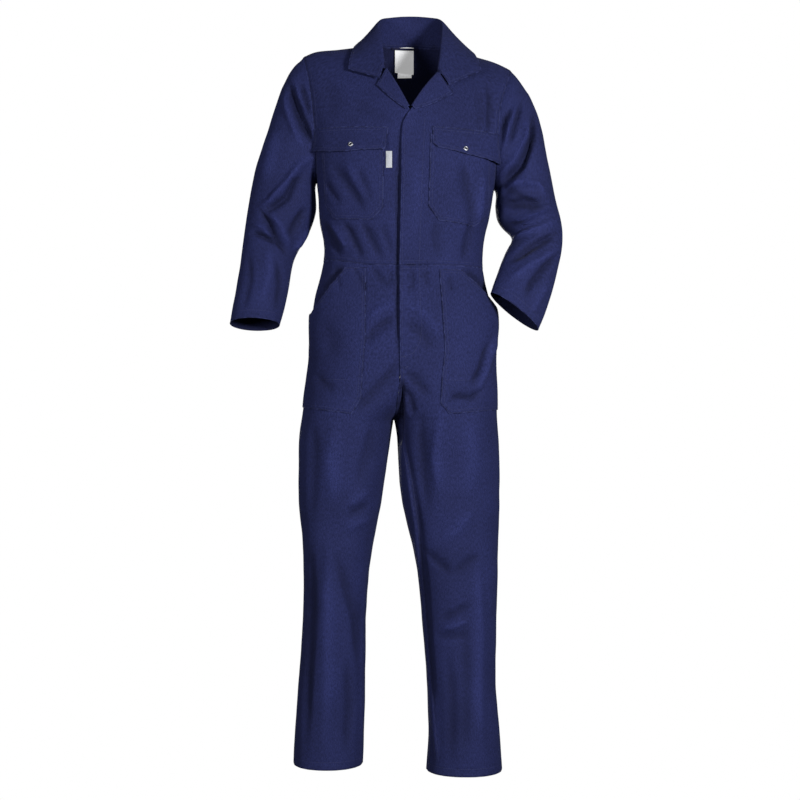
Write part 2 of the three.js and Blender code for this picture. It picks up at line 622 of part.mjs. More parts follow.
function add(name, geometry, finish = "cloth") {
  const material = new THREE.MeshStandardMaterial(finishes[finish]);
  const mesh = new THREE.Mesh(geometry, material);
  mesh.name = name;
  boiler_suit.add(mesh);
  return mesh;
}

// Bodice
const BODICE_LEVELS = [
  -0.999, -0.85, -0.7, -0.53, -0.36, -0.18, 0, 0.09, 0.2, 0.3, 0.35, 0.4, 0.5, 0.6, 0.68, 0.76, 0.83,
  0.89, 0.935, 0.968, 0.99,
];
const LEVELS = {
  front: [...BODICE_LEVELS, shoulderLevel(RIDGE_DEPTH.front, FRONT_DOME)],
  back: [...BODICE_LEVELS, shoulderLevel(RIDGE_DEPTH.back, BACK_DOME)],
};
const FRONT_COLUMNS = evenly(0, 1, 10);
const BACK_COLUMNS = evenly(0, 1, 18);
const LEG_COLUMNS = evenly(0, 1, 9);

function frontSurface(side) {
  const way = side === "right" ? -1 : 1;
  return (across, level) => {
    const edge = straight(FRONT_EDGE, "level", level, side);
    const hole = level > 0 ? curved(ARMHOLE, "level", level, side) : way * PAST_SIDE;
    const from = trunkAngle(edge, level);
    const to = way * Math.min(Math.abs(trunkAngle(hole, level)), seamAngle(SIDE_DEPTH.front));
    const point = trunkPoint("front", mix(from, to, across), level);
    if (side === "left") point.y -= lapLift(point.x, point.z);
    return point;
  };
}

function backSurface(across, level) {
  const ends = ["right", "left"].map((side) => {
    const way = side === "right" ? -1 : 1;
    const hole = level > 0 ? curved(ARMHOLE, "level", level, side) : way * PAST_SIDE;
    return way * Math.min(Math.abs(trunkAngle(hole, level)), seamAngle(SIDE_DEPTH.back));
  });
  return trunkPoint("back", mix(ends[0], ends[1], across), level);
}

// The right front's surface runs toward the wearer's right, so its ways are swapped round
const mirrored = (surface) => (across, along) => surface(1 - across, along);
const fronts = { right: mirrored(frontSurface("right")), left: frontSurface("left") };
const backOutward = mirrored(backSurface);

for (const side of ["right", "left"]) {
  add(`front_${side}`, wall(fronts[side], FRONT_COLUMNS, LEVELS.front));
}
add("back", wall(backOutward, BACK_COLUMNS, LEVELS.back));

// Trousers
const HEMS = { right: -1538, left: -1552 };
const LEG_HEIGHTS = [
  -470.4, -500, -532, -565, -600, -635, -667, -692, -712, -735, -755, -772, -785, -794, -800, -812,
  -840, -885, -935, -985, -1030, -1075, -1120, -1170, -1230, -1300, -1380, -1460,
];

function trouserSurface(leg, face) {
  const way = leg === "right" ? -1 : 1;
  return (across, z) => {
    const row = legRow(leg, z);
    const to = Math.acos((SEAM / 2 / SIDE_DEPTH.leg) ** (row.power / 2));
    let from = -to;
    if (z > CROTCH) {
      const lap = face === "front" && leg === "right" ? UNDERLAP * smooth((z - FLY_END + 30) / 60) : 0;
      from = Math.max(from, legAngle(leg, row.rise + lap, z));
    }
    const point = legPoint(leg, face, mix(from, to, across), z);
    if (face === "front" && leg === "left") point.y -= lapLift(point.x, point.z);
    return point;
  };
}

const trousers = {};
for (const leg of ["right", "left"]) {
  for (const face of ["front", "back"]) {
    const surface = trouserSurface(leg, face);
    const outward = (leg === "left") === (face === "front") ? surface : mirrored(surface);
    const heights = [...LEG_HEIGHTS, HEMS[leg]].reverse();
    trousers[`${face}_${leg}`] = { outward, heights };
    add(`trouser_${face}_${leg}`, wall(outward, LEG_COLUMNS, heights));
  }
}

// Sleeves
for (const side of ["right", "left"]) {
  const surface = (turn, ring) => sleevePoint(side, side === "left" ? turn : -turn, ring);
  const rings = evenly(0, sleeves[side].rings.length - 1, sleeves[side].rings.length + 1);
  const turns = evenly(0, 2 * Math.PI, 18).slice(0, -1);
  add(`sleeve_${side}`, wall(surface, turns, rings, { wrapped: true }));
}

// Collar
function clearOfPanels(point) {
  if (point.z > curved(RIDGE, "x", point.x, "z")) return point;
  const level = trunkLevel(point.x, point.z);
  if (point.y < RIDGE_Y) point.y = Math.min(point.y, trunkDepth("front", point.x, level) - COLLAR_REST);
  else point.y = Math.max(point.y, trunkDepth("back", point.x, level) + COLLAR_REST);
  return point;
}

function collarPoint(at, up) {
  const read = (column) => new THREE.Vector3(...curved(COLLAR, "at", at, column));
  const fold = read("fold");
  if (up < 1) return read("seam").lerp(fold, up);
  const share = up - 1;
  const edge = read("edge");
  const point = new THREE.QuadraticBezierCurve3(fold, read("fall"), edge).getPoint(share);
  const [end, side] = at < 4 ? [0, "right"] : [8, "left"];
  const notch = new THREE.Vector3(...COLLAR_NOTCH[side]);
  const cornered = share < 0.5 ? fold.lerp(notch, share * 2) : notch.lerp(edge, share * 2 - 1);
  return clearOfPanels(point.lerp(cornered, smooth(1 - Math.abs(at - end))));
}

// The fold's round top pushes the fall outward from the stand
function collarSurface(at, up) {
  const point = collarPoint(at, up);
  const middle = new THREE.Vector3(NECK.middle, 0, point.z);
  const outward = point.clone().sub(middle).setZ(0).normalize();
  const turn = smooth((up - 0.9) / 0.2);
  return point.addScaledVector(outward, mix(-COLLAR_FOLD, COLLAR_FOLD, turn) * smooth(up * 4));
}

const COLLAR_UP = [0, 0.35, 0.7, 0.9, 0.96, 1, 1.04, 1.1, 1.22, 1.36, 1.5, 1.64, 1.8, 1.9, 2];
add("collar", wall((at, up) => collarSurface(at, up), evenly(0, 8, 24), COLLAR_UP));

// Lapels
function lapelSurface(side) {
  const { lowEdge, tip, bow } = LAPELS[side];
  const place = (level, across) => {
    const along = (level - ROLL.low) / (ROLL.high - ROLL.low);
    const x = straight(FRONT_EDGE, "level", level, side);
    const rolled = [x, trunkHeight(x, level)];
    const swell = bow * Math.sin(Math.PI * along);
    const edge = [mix(lowEdge[0], tip[0], along), mix(lowEdge[1], tip[1], along) - swell];
    return [mix(rolled[0], edge[0], across), mix(rolled[1], edge[1], across)];
  };
  const ground = (x, z) => {
    const y = trunkDepth("front", x, trunkLevel(x, z));
    return new THREE.Vector3(x, side === "left" ? y - lapLift(x, z) : y, z);
  };
  return (across, along) => {
    const turn = (column) => straight(LAPEL_TURN, "across", across, column);
    const [x, z] = place(along, turn("spread"));
    const [rollX, rollZ] = place(along, 0);
    const [edgeX, edgeZ] = place(along, 1);
    const outOfFold = new THREE.Vector3(rollX - edgeX, 0, rollZ - edgeZ).normalize();
    const normal = normalAt(ground, x, z);
    return ground(x, z).addScaledVector(normal, turn("lift")).addScaledVector(outOfFold, turn("beyond"));
  };
}

const LAPEL_ACROSS = [0, 0.1, 0.2, 0.35, 0.6, 0.82, 1];
for (const side of ["right", "left"]) {
  const surface = lapelSurface(side);
  const outward = side === "left" ? surface : (across, along) => surface(1 - across, along);
  const columns = side === "left" ? LAPEL_ACROSS : LAPEL_ACROSS.map((each) => 1 - each).reverse();
  add(`lapel_${side}`, wall(outward, columns, [ROLL.low, 0.46, 0.5, 0.55, 0.6, 0.64, 0.67, ROLL.high]));
}

// Pockets and flaps, cut from a second layer over the fronts
function overlay(name, panel, layer, thickness, extra = () => 0) {
  const base = LAYER + layer * (CLOTH + LAYER);
  const offsets = {
    inner: (point) => base + extra(point),
    outer: (point) => base + thickness + extra(point),
  };
  const sheet = wall(panel.surface, panel.columns, panel.rows, offsets);
  add(name, cutOut(sheet, OUTLINES[name], CUT.front));
}

const bodice = (side) => ({ surface: fronts[side], columns: FRONT_COLUMNS, rows: LEVELS.front });
const hip = (side) => ({
  surface: trousers[`front_${side}`].outward,
  columns: LEG_COLUMNS,
  rows: trousers[`front_${side}`].heights,
});

// The hip pockets' mouths hang open toward the side
function mouthGape(side, { x, z }) {
  const [from, to] = [OUTLINES[`hip_pocket_${side}`][0], OUTLINES[`hip_pocket_${side}`].at(-1)];
  const along = [to[0] - from[0], to[1] - from[1]];
  const length = Math.hypot(...along);
  const below = Math.abs((x - from[0]) * along[1] - (z - from[1]) * along[0]) / length;
  const share = ((x - from[0]) * along[0] + (z - from[1]) * along[1]) / length ** 2;
  return POCKET_GAPE[side] * (1 - smooth(below / GAPE_REACH)) * smooth(share * 1.6);
}

for (const side of ["right", "left"]) {
  overlay(`chest_pocket_${side}`, bodice(side), 0, CLOTH);
  overlay(`chest_flap_${side}`, bodice(side), 1, CLOTH);
  overlay(`hip_pocket_${side}`, hip(side), 0, CLOTH, (point) => mouthGape(side, point));
}

// Labels
const backSheet = (from, to) => wall(backOutward, BACK_COLUMNS, LEVELS.back, { inner: from, outer: to });
function labelOutline({ x, top, low }) {
  return [[x[0], top], [x[0], low[0]], [x[1], low[1]], [x[1], top]];
}
function neckLabel(name, outer, label) {
  add(name, cutOut(backSheet(outer - LABEL, outer), labelOutline(label), CUT.back), "label");
}
const inside = -CLOTH - LAYER;
neckLabel("neck_label_under", inside, UNDER_LABEL);
neckLabel("neck_label", inside - LABEL - LAYER, NECK_LABEL);
OUTLINES.pocket_tab = [
  [TAB.x[0], TAB.z[0]], [TAB.x[1], TAB.z[0]], [TAB.x[1], TAB.z[1]], [TAB.x[0], TAB.z[1]],
];
const tabSheet = wall(fronts.right, FRONT_COLUMNS, LEVELS.front, { inner: LAYER, outer: LAYER + LABEL });
add("pocket_tab", cutOut(tabSheet, OUTLINES.pocket_tab, CUT.front), "label");

// Hanging loop, a flat strip bowed away from the back neck
function hangingLoop() {
  const top = LOOP.z + LOOP.height / 2;
  const depth = (x) => trunkDepth("back", x, trunkLevel(x, top)) - LOOP.back;
  const points = evenly(LOOP.ends[0], LOOP.ends[1], 10).map((x) => {
    const share = (x - LOOP.ends[0]) / (LOOP.ends[1] - LOOP.ends[0]);
    const bowed = LOOP.bow * Math.abs(Math.sin(Math.PI * share)) ** LOOP.flatness;
    return new THREE.Vector3(x, depth(x) - bowed, LOOP.z);
  });
  const surface = (across, along) => {
    const point = new THREE.CatmullRomCurve3(points).getPoint(clamp(across, 0, 1));
    return point.setZ(point.z + along);
  };
  const rows = [-LOOP.height / 2, LOOP.height / 2];
  return wall(surface, evenly(0.01, 0.99, 12), rows, { inner: 0, outer: LABEL });
}
add("hanging_loop", hangingLoop(), "loop");

// Press studs: a rounded ring round a dished centre
function studGeometry() {
  const { radius, height, hole } = STUDS;
  const profile = [
    [0, 0], [radius, 0], [radius, height * 0.45], [radius * 0.86, height], [hole * 1.2, height],
    [hole, height * 0.45], [0, height * 0.45],
  ].map(([r, z]) => new THREE.Vector2(r, z));
  return new THREE.LatheGeometry(profile, 20);
}

for (const side of ["right", "left"]) {
  const [x, z] = STUDS[side];
  const ground = (u, v) => new THREE.Vector3(u, trunkDepth("front", u, trunkLevel(u, v)), v);
  const normal = normalAt(ground, x, z);
  const lift = 2 * (CLOTH + LAYER) - STUDS.sink;
  const stud = fromSolid(toSolid(studGeometry()));
  const mesh = add(`flap_stud_${side}`, stud, "metal");
  mesh.position.copy(ground(x, z)).addScaledVector(normal, lift);
  mesh.quaternion.setFromUnitVectors(new THREE.Vector3(0, 1, 0), normal);
}

export default boiler_suit;
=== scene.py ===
import math

import bmesh
import bpy
import numpy as np
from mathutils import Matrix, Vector, noise
from mathutils.bvhtree import BVHTree
from mathutils.kdtree import KDTree


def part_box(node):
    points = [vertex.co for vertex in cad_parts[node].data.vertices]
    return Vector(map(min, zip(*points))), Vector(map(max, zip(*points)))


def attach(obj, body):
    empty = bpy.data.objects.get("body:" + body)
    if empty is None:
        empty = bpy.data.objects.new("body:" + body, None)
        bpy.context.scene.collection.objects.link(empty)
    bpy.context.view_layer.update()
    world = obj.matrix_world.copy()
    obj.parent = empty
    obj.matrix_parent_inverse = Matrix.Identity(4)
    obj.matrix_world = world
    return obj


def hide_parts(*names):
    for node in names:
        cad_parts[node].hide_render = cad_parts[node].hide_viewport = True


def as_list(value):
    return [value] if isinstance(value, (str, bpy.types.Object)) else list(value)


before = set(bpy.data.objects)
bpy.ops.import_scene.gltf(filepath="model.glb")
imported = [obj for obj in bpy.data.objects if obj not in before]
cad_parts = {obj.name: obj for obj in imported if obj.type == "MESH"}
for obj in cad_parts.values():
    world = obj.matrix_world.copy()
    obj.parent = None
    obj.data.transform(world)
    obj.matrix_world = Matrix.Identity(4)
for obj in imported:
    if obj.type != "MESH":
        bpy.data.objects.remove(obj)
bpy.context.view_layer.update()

MM = 0.001

# Camera and picture, in the frame of the suit
PICTURE = 800
LENS, SENSOR = 64.6, 36.0
EYE = Vector((-0.0086, -3.1, -0.756))

# Cloth
CAD_WALL = 1.6 * MM
WALL_SLACK = 0.03 * MM
CLOTH = 1.15 * MM
PATCH_CLOTH = 1.0 * MM
LABEL_CLOTH = 0.35 * MM
CELL = 16 * MM  # longest stretch of a sheet before it is smoothed
SMOOTHING = 2  # times every cell is halved
CORNER = math.radians(138)  # an edge that turns more sharply than this keeps its corner
SEAM_REACH = 4 * MM  # two panels this near to each other are sewn together
TRACE = 1.5 * MM  # spacing of the points that stand for an edge
SAME_SPOT = 0.01 * MM  # points nearer than this are one
HALVINGS, EVENINGS = 3, 6  # rounds of splitting long edges, and of evening out the cells

# Sewing
STITCH = 2.7 * MM
STITCH_GAP = 0.9 * MM
THREAD = 0.27 * MM
ARCH = [(0, -0.4), (0.5, 0.7), (1, -0.4)]  # a stitch, as shares of its length and of the thread
FELLED = [2.2 * MM, 8 * MM]
EDGE_ROWS = [2 * MM, 7.5 * MM]


def seen(px, py, depth=0.12):
    """Where a place in the picture lies on the suit, as x and z, at a depth before the middle."""
    scale = (-EYE.y - depth) * SENSOR / LENS / PICTURE
    return EYE.x + (px - PICTURE / 2) * scale, EYE.z + (PICTURE / 2 - py) * scale


# Creases as paths in the picture with their width on either side and their depth in millimetres,
# below zero for a trough. Each one swells and fades along its path.
FRONT_CREASES = [
    # chest, wearer's right
    ([(329, 158), (341, 176), (357, 200), (366, 214)], 9, 15, -2.6),
    ([(345, 160), (354, 178), (367, 200)], 8, 10, 1.6),
    ([(356, 166), (364, 184), (372, 204)], 8, 9, -1.6),
    ([(324, 176), (331, 190), (341, 204)], 5, 8, -2.4),
    ([(322, 66), (330, 92), (332, 118)], 18, 24, -1.1),
    ([(350, 96), (368, 110), (392, 122)], 12, 16, -0.9),
    # below that pocket
    ([(318, 216), (326, 232), (340, 256)], 6, 12, -4),
    ([(327, 216), (336, 230), (347, 250)], 5, 6, 2.2),
    ([(340, 219), (350, 236), (362, 260)], 5, 12, -3.6),
    ([(360, 220), (369, 238), (382, 261)], 5, 12, -3),
    ([(381, 222), (387, 240), (392, 256)], 6, 8, -1.8),
    # chest, wearer's left
    ([(463, 156), (468, 182), (473, 205), (472, 228)], 18, 7, -3),
    ([(484, 168), (481, 195), (479, 226)], 7, 8, 2.6),
    ([(474, 214), (467, 240), (463, 262)], 7, 15, -2.6),
    ([(489, 74), (492, 100), (490, 134)], 6, 9, -3.4),
    ([(478, 78), (483, 104), (480, 132)], 10, 14, -1.3),
    ([(438, 216), (434, 236), (439, 260)], 6, 14, -1.5),
    ([(414, 150), (416, 200), (413, 246)], 12, 14, 1.5),
    # short gathers at the waist seam
    ([(333, 264), (336, 275), (342, 292)], 5, 7, -1.4),
    ([(351, 264), (358, 276), (366, 294)], 5, 7, -1.8),
    ([(369, 265), (378, 276), (390, 288)], 5, 7, -2.4),
    ([(389, 268), (391, 277), (389, 287)], 5, 5, -2),
    ([(411, 268), (413, 280), (410, 296)], 6, 6, -2),
    ([(428, 268), (426, 276), (428, 290)], 6, 6, -1.8),
    ([(452, 270), (450, 280), (453, 296)], 6, 6, -1.6),
    # across the hips
    ([(397, 316), (384, 321), (371, 332), (364, 346)], 6, 16, -3),
    ([(397, 306), (380, 309), (366, 322)], 9, 9, 2.8),
    ([(403, 306), (418, 310), (434, 326), (441, 344)], 8, 12, 2),
    ([(404, 322), (420, 330), (434, 350)], 14, 9, -2.2),
    ([(400, 356), (388, 374), (366, 398), (352, 418)], 7, 16, -2.8),
    ([(404, 370), (416, 382), (430, 398)], 7, 14, -2.6),
    ([(402, 388), (409, 398), (414, 418)], 6, 9, -3),
    ([(497, 330), (493, 346), (486, 370), (477, 393)], 7, 6, 4.2),
    ([(489, 340), (481, 368), (470, 386)], 7, 9, -4.2),
    ([(446, 402), (458, 396), (472, 397), (484, 388)], 8, 8, -4),
    ([(312, 372), (324, 384), (336, 392)], 10, 12, -2.2),
    ([(322, 316), (330, 336), (332, 360)], 14, 20, -1.2),
    # thighs
    ([(441, 404), (438, 428), (434, 460), (440, 500)], 10, 16, 2.6),
    ([(421, 404), (420, 440), (423, 480), (428, 520)], 9, 16, -2.6),
    ([(470, 420), (474, 460), (470, 500)], 18, 18, 1.8),
    ([(336, 418), (330, 460), (334, 510)], 18, 20, 2.4),
    ([(374, 418), (367, 450), (354, 490)], 10, 20, -1.8),
    ([(312, 420), (314, 460), (310, 520)], 12, 14, -2),
    ([(401, 400), (402, 444), (409, 483), (416, 528), (418, 557), (424, 632), (431, 708), (436, 766)],
     5, 5, 1.6),
    ([(406, 410), (407, 444), (414, 483), (421, 528), (424, 557), (430, 632), (436, 708), (441, 766)],
     5, 6, -1.6),
    # knees
    ([(344, 507), (356, 502), (370, 491)], 9, 12, 1.8),
    ([(344, 532), (356, 526), (371, 520)], 9, 12, 1.8),
    ([(346, 519), (357, 513), (370, 505)], 7, 10, -1.6),
    ([(424, 553), (436, 565), (452, 578)], 6, 14, -2.6),
    ([(452, 578), (464, 567), (484, 555)], 13, 7, -2),
    ([(438, 546), (456, 534), (476, 508)], 12, 12, 1.8),
    ([(438, 626), (454, 618), (473, 608)], 6, 12, -2.4),
    ([(434, 643), (452, 641), (470, 639)], 6, 11, -2.2),
    ([(440, 634), (456, 629), (472, 624)], 7, 7, 2.2),
    # lower legs
    ([(332, 552), (343, 588), (353, 622), (358, 680)], 7, 16, -2.8),
    ([(364, 580), (363, 640), (362, 700), (361, 770)], 5, 6, 3),
    ([(328, 540), (325, 600), (327, 680), (323, 764)], 16, 18, 3.6),
    ([(308, 540), (310, 610), (306, 690), (304, 764)], 12, 12, -3.2),
    ([(346, 660), (349, 710), (345, 764)], 12, 10, -2.6),
    ([(478, 560), (482, 640), (480, 700), (484, 768)], 14, 12, 3),
    ([(448, 656), (453, 700), (451, 772)], 12, 16, -2),
    ([(434, 690), (436, 730), (438, 772)], 5, 7, 2.2),
    ([(466, 600), (468, 680), (466, 772)], 12, 12, -1.8),
]
BACK_CREASES = [
    # shoulder blades and waist
    ([(300, 90), (312, 124), (332, 156)], 12, 18, -5),
    ([(318, 84), (330, 116), (346, 146)], 10, 12, 3),
    ([(500, 92), (488, 126), (470, 158)], 18, 12, -5),
    ([(484, 86), (472, 118), (458, 142)], 12, 10, 3),
    ([(390, 96), (397, 150), (392, 204)], 26, 26, -1.4),
    ([(336, 196), (350, 224), (356, 256)], 10, 13, -4.4),
    ([(362, 206), (370, 232), (368, 260)], 8, 9, 2.8),
    ([(386, 224), (389, 242), (385, 262)], 7, 10, -2.4),
    ([(424, 200), (419, 232), (427, 262)], 8, 11, -3.2),
    ([(452, 200), (446, 228), (444, 258)], 10, 10, 3),
    ([(470, 196), (462, 226), (452, 260)], 12, 9, -4.4),
    ([(322, 232), (334, 244), (352, 252)], 9, 9, -4),
    ([(480, 236), (468, 246), (452, 254)], 9, 9, -3.6),
    ([(326, 264), (333, 282), (346, 304)], 6, 9, -2),
    ([(366, 264), (368, 276), (374, 288)], 5, 7, -1.4),
    ([(392, 264), (395, 286), (393, 312)], 6, 10, -1.6),
    ([(430, 264), (427, 274), (421, 284)], 5, 6, -1.6),
    ([(474, 264), (466, 284), (450, 310)], 7, 9, -2),
    # seat
    ([(396, 372), (376, 384), (350, 388), (322, 380)], 13, 16, -5.4),
    ([(408, 372), (428, 386), (454, 388), (482, 380)], 13, 16, -5.4),
    ([(394, 400), (374, 412), (346, 414)], 10, 12, 3.4),
    ([(412, 400), (432, 412), (460, 414)], 10, 12, 3.4),
    ([(390, 414), (368, 430), (334, 436)], 10, 14, -4.4),
    ([(416, 414), (438, 432), (470, 438)], 10, 14, -4.4),
    ([(402, 330), (399, 352), (402, 372)], 10, 10, -3),
    # behind the knees
    ([(306, 548), (326, 560), (348, 556)], 9, 12, -4.6),
    ([(310, 566), (332, 576), (352, 570)], 8, 8, 3),
    ([(312, 582), (330, 594), (354, 590)], 9, 11, -4),
    ([(492, 552), (472, 564), (448, 560)], 9, 12, -4.6),
    ([(490, 570), (468, 580), (446, 574)], 8, 8, 3),
    ([(488, 588), (466, 598), (440, 594)], 9, 11, -4),
    ([(330, 450), (326, 500), (330, 545)], 18, 20, 3),
    ([(470, 450), (474, 500), (470, 545)], 18, 20, 3),
    ([(334, 604), (330, 670), (332, 764)], 16, 16, 3.6),
    ([(350, 610), (354, 680), (350, 764)], 10, 12, -3),
    ([(312, 610), (308, 690), (310, 764)], 10, 12, -2.6),
    ([(462, 608), (466, 680), (462, 772)], 16, 16, 3.6),
    ([(446, 612), (442, 690), (446, 772)], 12, 10, -3),
    ([(484, 612), (486, 690), (484, 772)], 10, 10, -2.6),
]
SLEEVE_FRONT_CREASES = [
    # wearer's right sleeve: head, upper arm, elbow, forearm
    ([(287, 78), (292, 94), (299, 112), (316, 148)], 9, 6, -8.5),
    ([(282, 86), (286, 106), (294, 130), (306, 152)], 8, 8, 3.4),
    ([(299, 78), (304, 92), (312, 118)], 5, 5, -4.2),
    ([(293, 76), (300, 98), (309, 120)], 3.5, 4, 2.6),
    ([(316, 155), (300, 163), (287, 182), (270, 200), (258, 207)], 7, 9, 6),
    ([(306, 172), (294, 182), (286, 198), (262, 214)], 7, 9, -5.5),
    ([(258, 208), (268, 222), (276, 238), (287, 255)], 6, 5, -6.5),
    ([(270, 212), (280, 226), (290, 250)], 6, 8, 5),
    ([(249, 231), (262, 236), (277, 244)], 4, 6, -5.5),
    ([(251, 222), (262, 228), (272, 238)], 4, 5, 2.6),
    ([(314, 220), (304, 234), (291, 251)], 6, 7, 4.4),
    ([(306, 206), (296, 222), (288, 236)], 7, 9, -4.4),
    ([(268, 244), (270, 272), (262, 304)], 11, 10, 3.4),
    ([(276, 258), (280, 284), (276, 312)], 7, 8, -3),
    ([(248, 252), (250, 280), (244, 312)], 8, 8, -2.4),
    ([(276, 124), (270, 152), (262, 184)], 16, 16, 2.4),
    # wearer's left sleeve
    ([(512, 104), (504, 122), (499, 140), (496, 160)], 4, 6, -5),
    ([(518, 100), (509, 124), (503, 150)], 5, 6, 3.6),
    ([(524, 96), (517, 122), (508, 148)], 6, 6, -3.4),
    ([(537, 108), (534, 136), (521, 166), (499, 186)], 9, 7, -9),
    ([(528, 112), (526, 136), (514, 160), (498, 176)], 8, 8, 4),
    ([(500, 192), (518, 182), (538, 184), (549, 196)], 7, 7, 3.6),
    ([(500, 200), (514, 204), (532, 202), (546, 204)], 11, 9, -6.5),
    ([(511, 220), (524, 218), (540, 211), (552, 204)], 7, 5, 6.5),
    ([(561, 229), (548, 238), (530, 247), (506, 264)], 7, 10, -6.5),
    ([(560, 218), (544, 226), (524, 232), (510, 240)], 6, 7, 3.4),
    ([(561, 244), (546, 256), (526, 268), (506, 282)], 8, 9, 3.8),
    ([(559, 254), (546, 266), (530, 284), (522, 300)], 7, 9, -5),
    ([(548, 282), (538, 298), (528, 316)], 7, 9, 2.4),
]
SLEEVE_BACK_CREASES = [
    ([(290, 80), (296, 104), (312, 140)], 9, 7, -7),
    ([(282, 92), (290, 124), (304, 152)], 8, 8, 3.4),
    ([(312, 168), (296, 180), (272, 192)], 8, 10, -4.6),
    ([(250, 204), (266, 212), (286, 210)], 8, 8, 5),
    ([(246, 222), (264, 228), (290, 224)], 6, 8, -6),
    ([(246, 238), (262, 244), (286, 244)], 6, 6, 4),
    ([(246, 252), (262, 258), (282, 258)], 6, 8, -5),
    ([(264, 266), (262, 290), (258, 312)], 10, 10, 3),
    ([(516, 98), (508, 128), (500, 158)], 7, 7, -6),
    ([(536, 118), (530, 146), (506, 176)], 8, 9, -5),
    ([(552, 204), (536, 206), (512, 204)], 8, 8, 5),
    ([(556, 222), (538, 224), (508, 222)], 6, 8, -6.5),
    ([(558, 238), (538, 242), (510, 242)], 6, 6, 4.4),
    ([(556, 254), (538, 260), (508, 262)], 6, 8, -5.5),
    ([(546, 280), (534, 300), (526, 318)], 9, 9, 3),
]
CREASE_GAIN = 2.1
# Large soft unevenness that all cloth has: wavelength and height
UNEVEN = [(95 * MM, 1.6 * MM), (38 * MM, 0.55 * MM)]


def smooth(value):
    share = np.clip(value, 0, 1)
    return share * share * (3 - 2 * share)


def crease_height(places, creases, depth):
    """How far the creases move the cloth out at places given as x and z."""
    moved = np.zeros(len(places))
    for path, before, after, rise in creases:
        points = np.array([seen(*place, depth) for place in path])
        steps = np.linalg.norm(np.diff(points, axis=0), axis=1)
        starts = np.concatenate([[0], np.cumsum(steps)])
        nearest = np.full(len(places), np.inf)
        along = np.zeros(len(places))
        side = np.zeros(len(places))
        for index, step in enumerate(steps):
            way = (points[index + 1] - points[index]) / step
            away = places - points[index]
            run = np.clip(away @ way, 0, step)
            gap = np.linalg.norm(away - run[:, None] * way, axis=1)
            closer = gap < nearest
            nearest = np.where(closer, gap, nearest)
            along = np.where(closer, starts[index] + run, along)
            side = np.where(closer, away[:, 0] * way[1] - away[:, 1] * way[0], side)
        share = along / starts[-1]
        swell = smooth(share / 0.35 + 0.12) * smooth((1 - share) / 0.35 + 0.12)
        width = np.where(side > 0, before, after) * MM * (0.62 + 0.33 * np.sin(math.pi * share))
        moved += CREASE_GAIN * rise * MM * swell * np.exp(-((nearest / width) ** 2))
    return moved


# Sheets of cloth
def to_object(name, bm):
    mesh = bpy.data.meshes.new(name)
    bm.to_mesh(mesh)
    bm.free()
    piece = bpy.data.objects.new(name, mesh)
    bpy.context.scene.collection.objects.link(piece)
    return piece


def apply_modifiers(piece):
    graph = bpy.context.evaluated_depsgraph_get()
    mesh = bpy.data.meshes.new_from_object(piece.evaluated_get(graph))
    old = piece.data
    piece.modifiers.clear()
    piece.data = mesh
    bpy.data.meshes.remove(old)


def islands(bm):
    """The faces of a bmesh in groups that hang together."""
    left = set(bm.faces)
    while left:
        group, stack = [], [left.pop()]
        while stack:
            face = stack.pop()
            group.append(face)
            for edge in face.edges:
                for other in edge.link_faces:
                    if other in left:
                        left.remove(other)
                        stack.append(other)
        yield group


def outer_sheet(node, wall=CAD_WALL):
    """The outer layer of a CAD wall as an open sheet, smoothed into small even cells."""
    bm = bmesh.new()
    bm.from_mesh(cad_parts[node].data)
    bmesh.ops.remove_doubles(bm, verts=bm.verts, dist=SAME_SPOT)
    rim = {
        face
        for edge in bm.edges if abs(edge.calc_length() - wall) < WALL_SLACK
        for face in edge.link_faces
    }
    bmesh.ops.delete(bm, geom=list(rim), context="FACES")
    layers = sorted(islands(bm), key=lambda group: -sum(face.calc_area() for face in group))
    bmesh.ops.delete(bm, geom=[face for layer in layers[1:] for face in layer], context="FACES")
    bmesh.ops.join_triangles(
        bm, faces=bm.faces, angle_face_threshold=math.pi, angle_shape_threshold=math.pi
    )
    for _ in range(HALVINGS):
        long_edges = [edge for edge in bm.edges if edge.calc_length() > CELL * 1.5]
        bmesh.ops.subdivide_edges(bm, edges=long_edges, cuts=1, use_grid_fill=True)
    crisp = bm.verts.layers.float.new("crease_vert")
    for vert in bm.verts:
        ways = [edge.other_vert(vert).co - vert.co for edge in vert.link_edges if edge.is_boundary]
        if len(ways) == 2 and ways[0].angle(ways[1]) < CORNER:
            vert[crisp] = 1
    piece = to_object(f"{node}_cloth", bm)
    rounding = piece.modifiers.new("rounding", "SUBSURF")
    rounding.levels = rounding.render_levels = SMOOTHING
    rounding.boundary_smooth = "PRESERVE_CORNERS"
    apply_modifiers(piece)
    bm = bmesh.new()
    bm.from_mesh(piece.data)
    inside = [vert for vert in bm.verts if not vert.is_boundary]
    for _ in range(EVENINGS):
        bmesh.ops.smooth_vert(
            bm, verts=inside, factor=0.5, use_axis_x=True, use_axis_y=True, use_axis_z=True
        )
    bm.to_mesh(piece.data)
    bm.free()
    return piece


def positions(piece):
    flat = np.empty(len(piece.data.vertices) * 3)
    piece.data.vertices.foreach_get("co", flat)
    return flat.reshape(-1, 3)


def normals(piece):
    flat = np.empty(len(piece.data.vertices) * 3)
    piece.data.vertex_normals.foreach_get("vector", flat)
    return flat.reshape(-1, 3)


def place(piece, points):
    piece.data.vertices.foreach_set("co", np.ascontiguousarray(points).ravel())
    piece.data.update()


def edge_trace(piece):
    """Points close together along the open edges of a sheet."""
    bm = bmesh.new()
    bm.from_mesh(piece.data)
    points = []
    for edge in bm.edges:
        if edge.is_boundary:
            start, end = (vert.co for vert in edge.verts)
            count = max(1, math.ceil((end - start).length / TRACE))
            points += [start.lerp(end, step / count) for step in range(count)]
    bm.free()
    return points


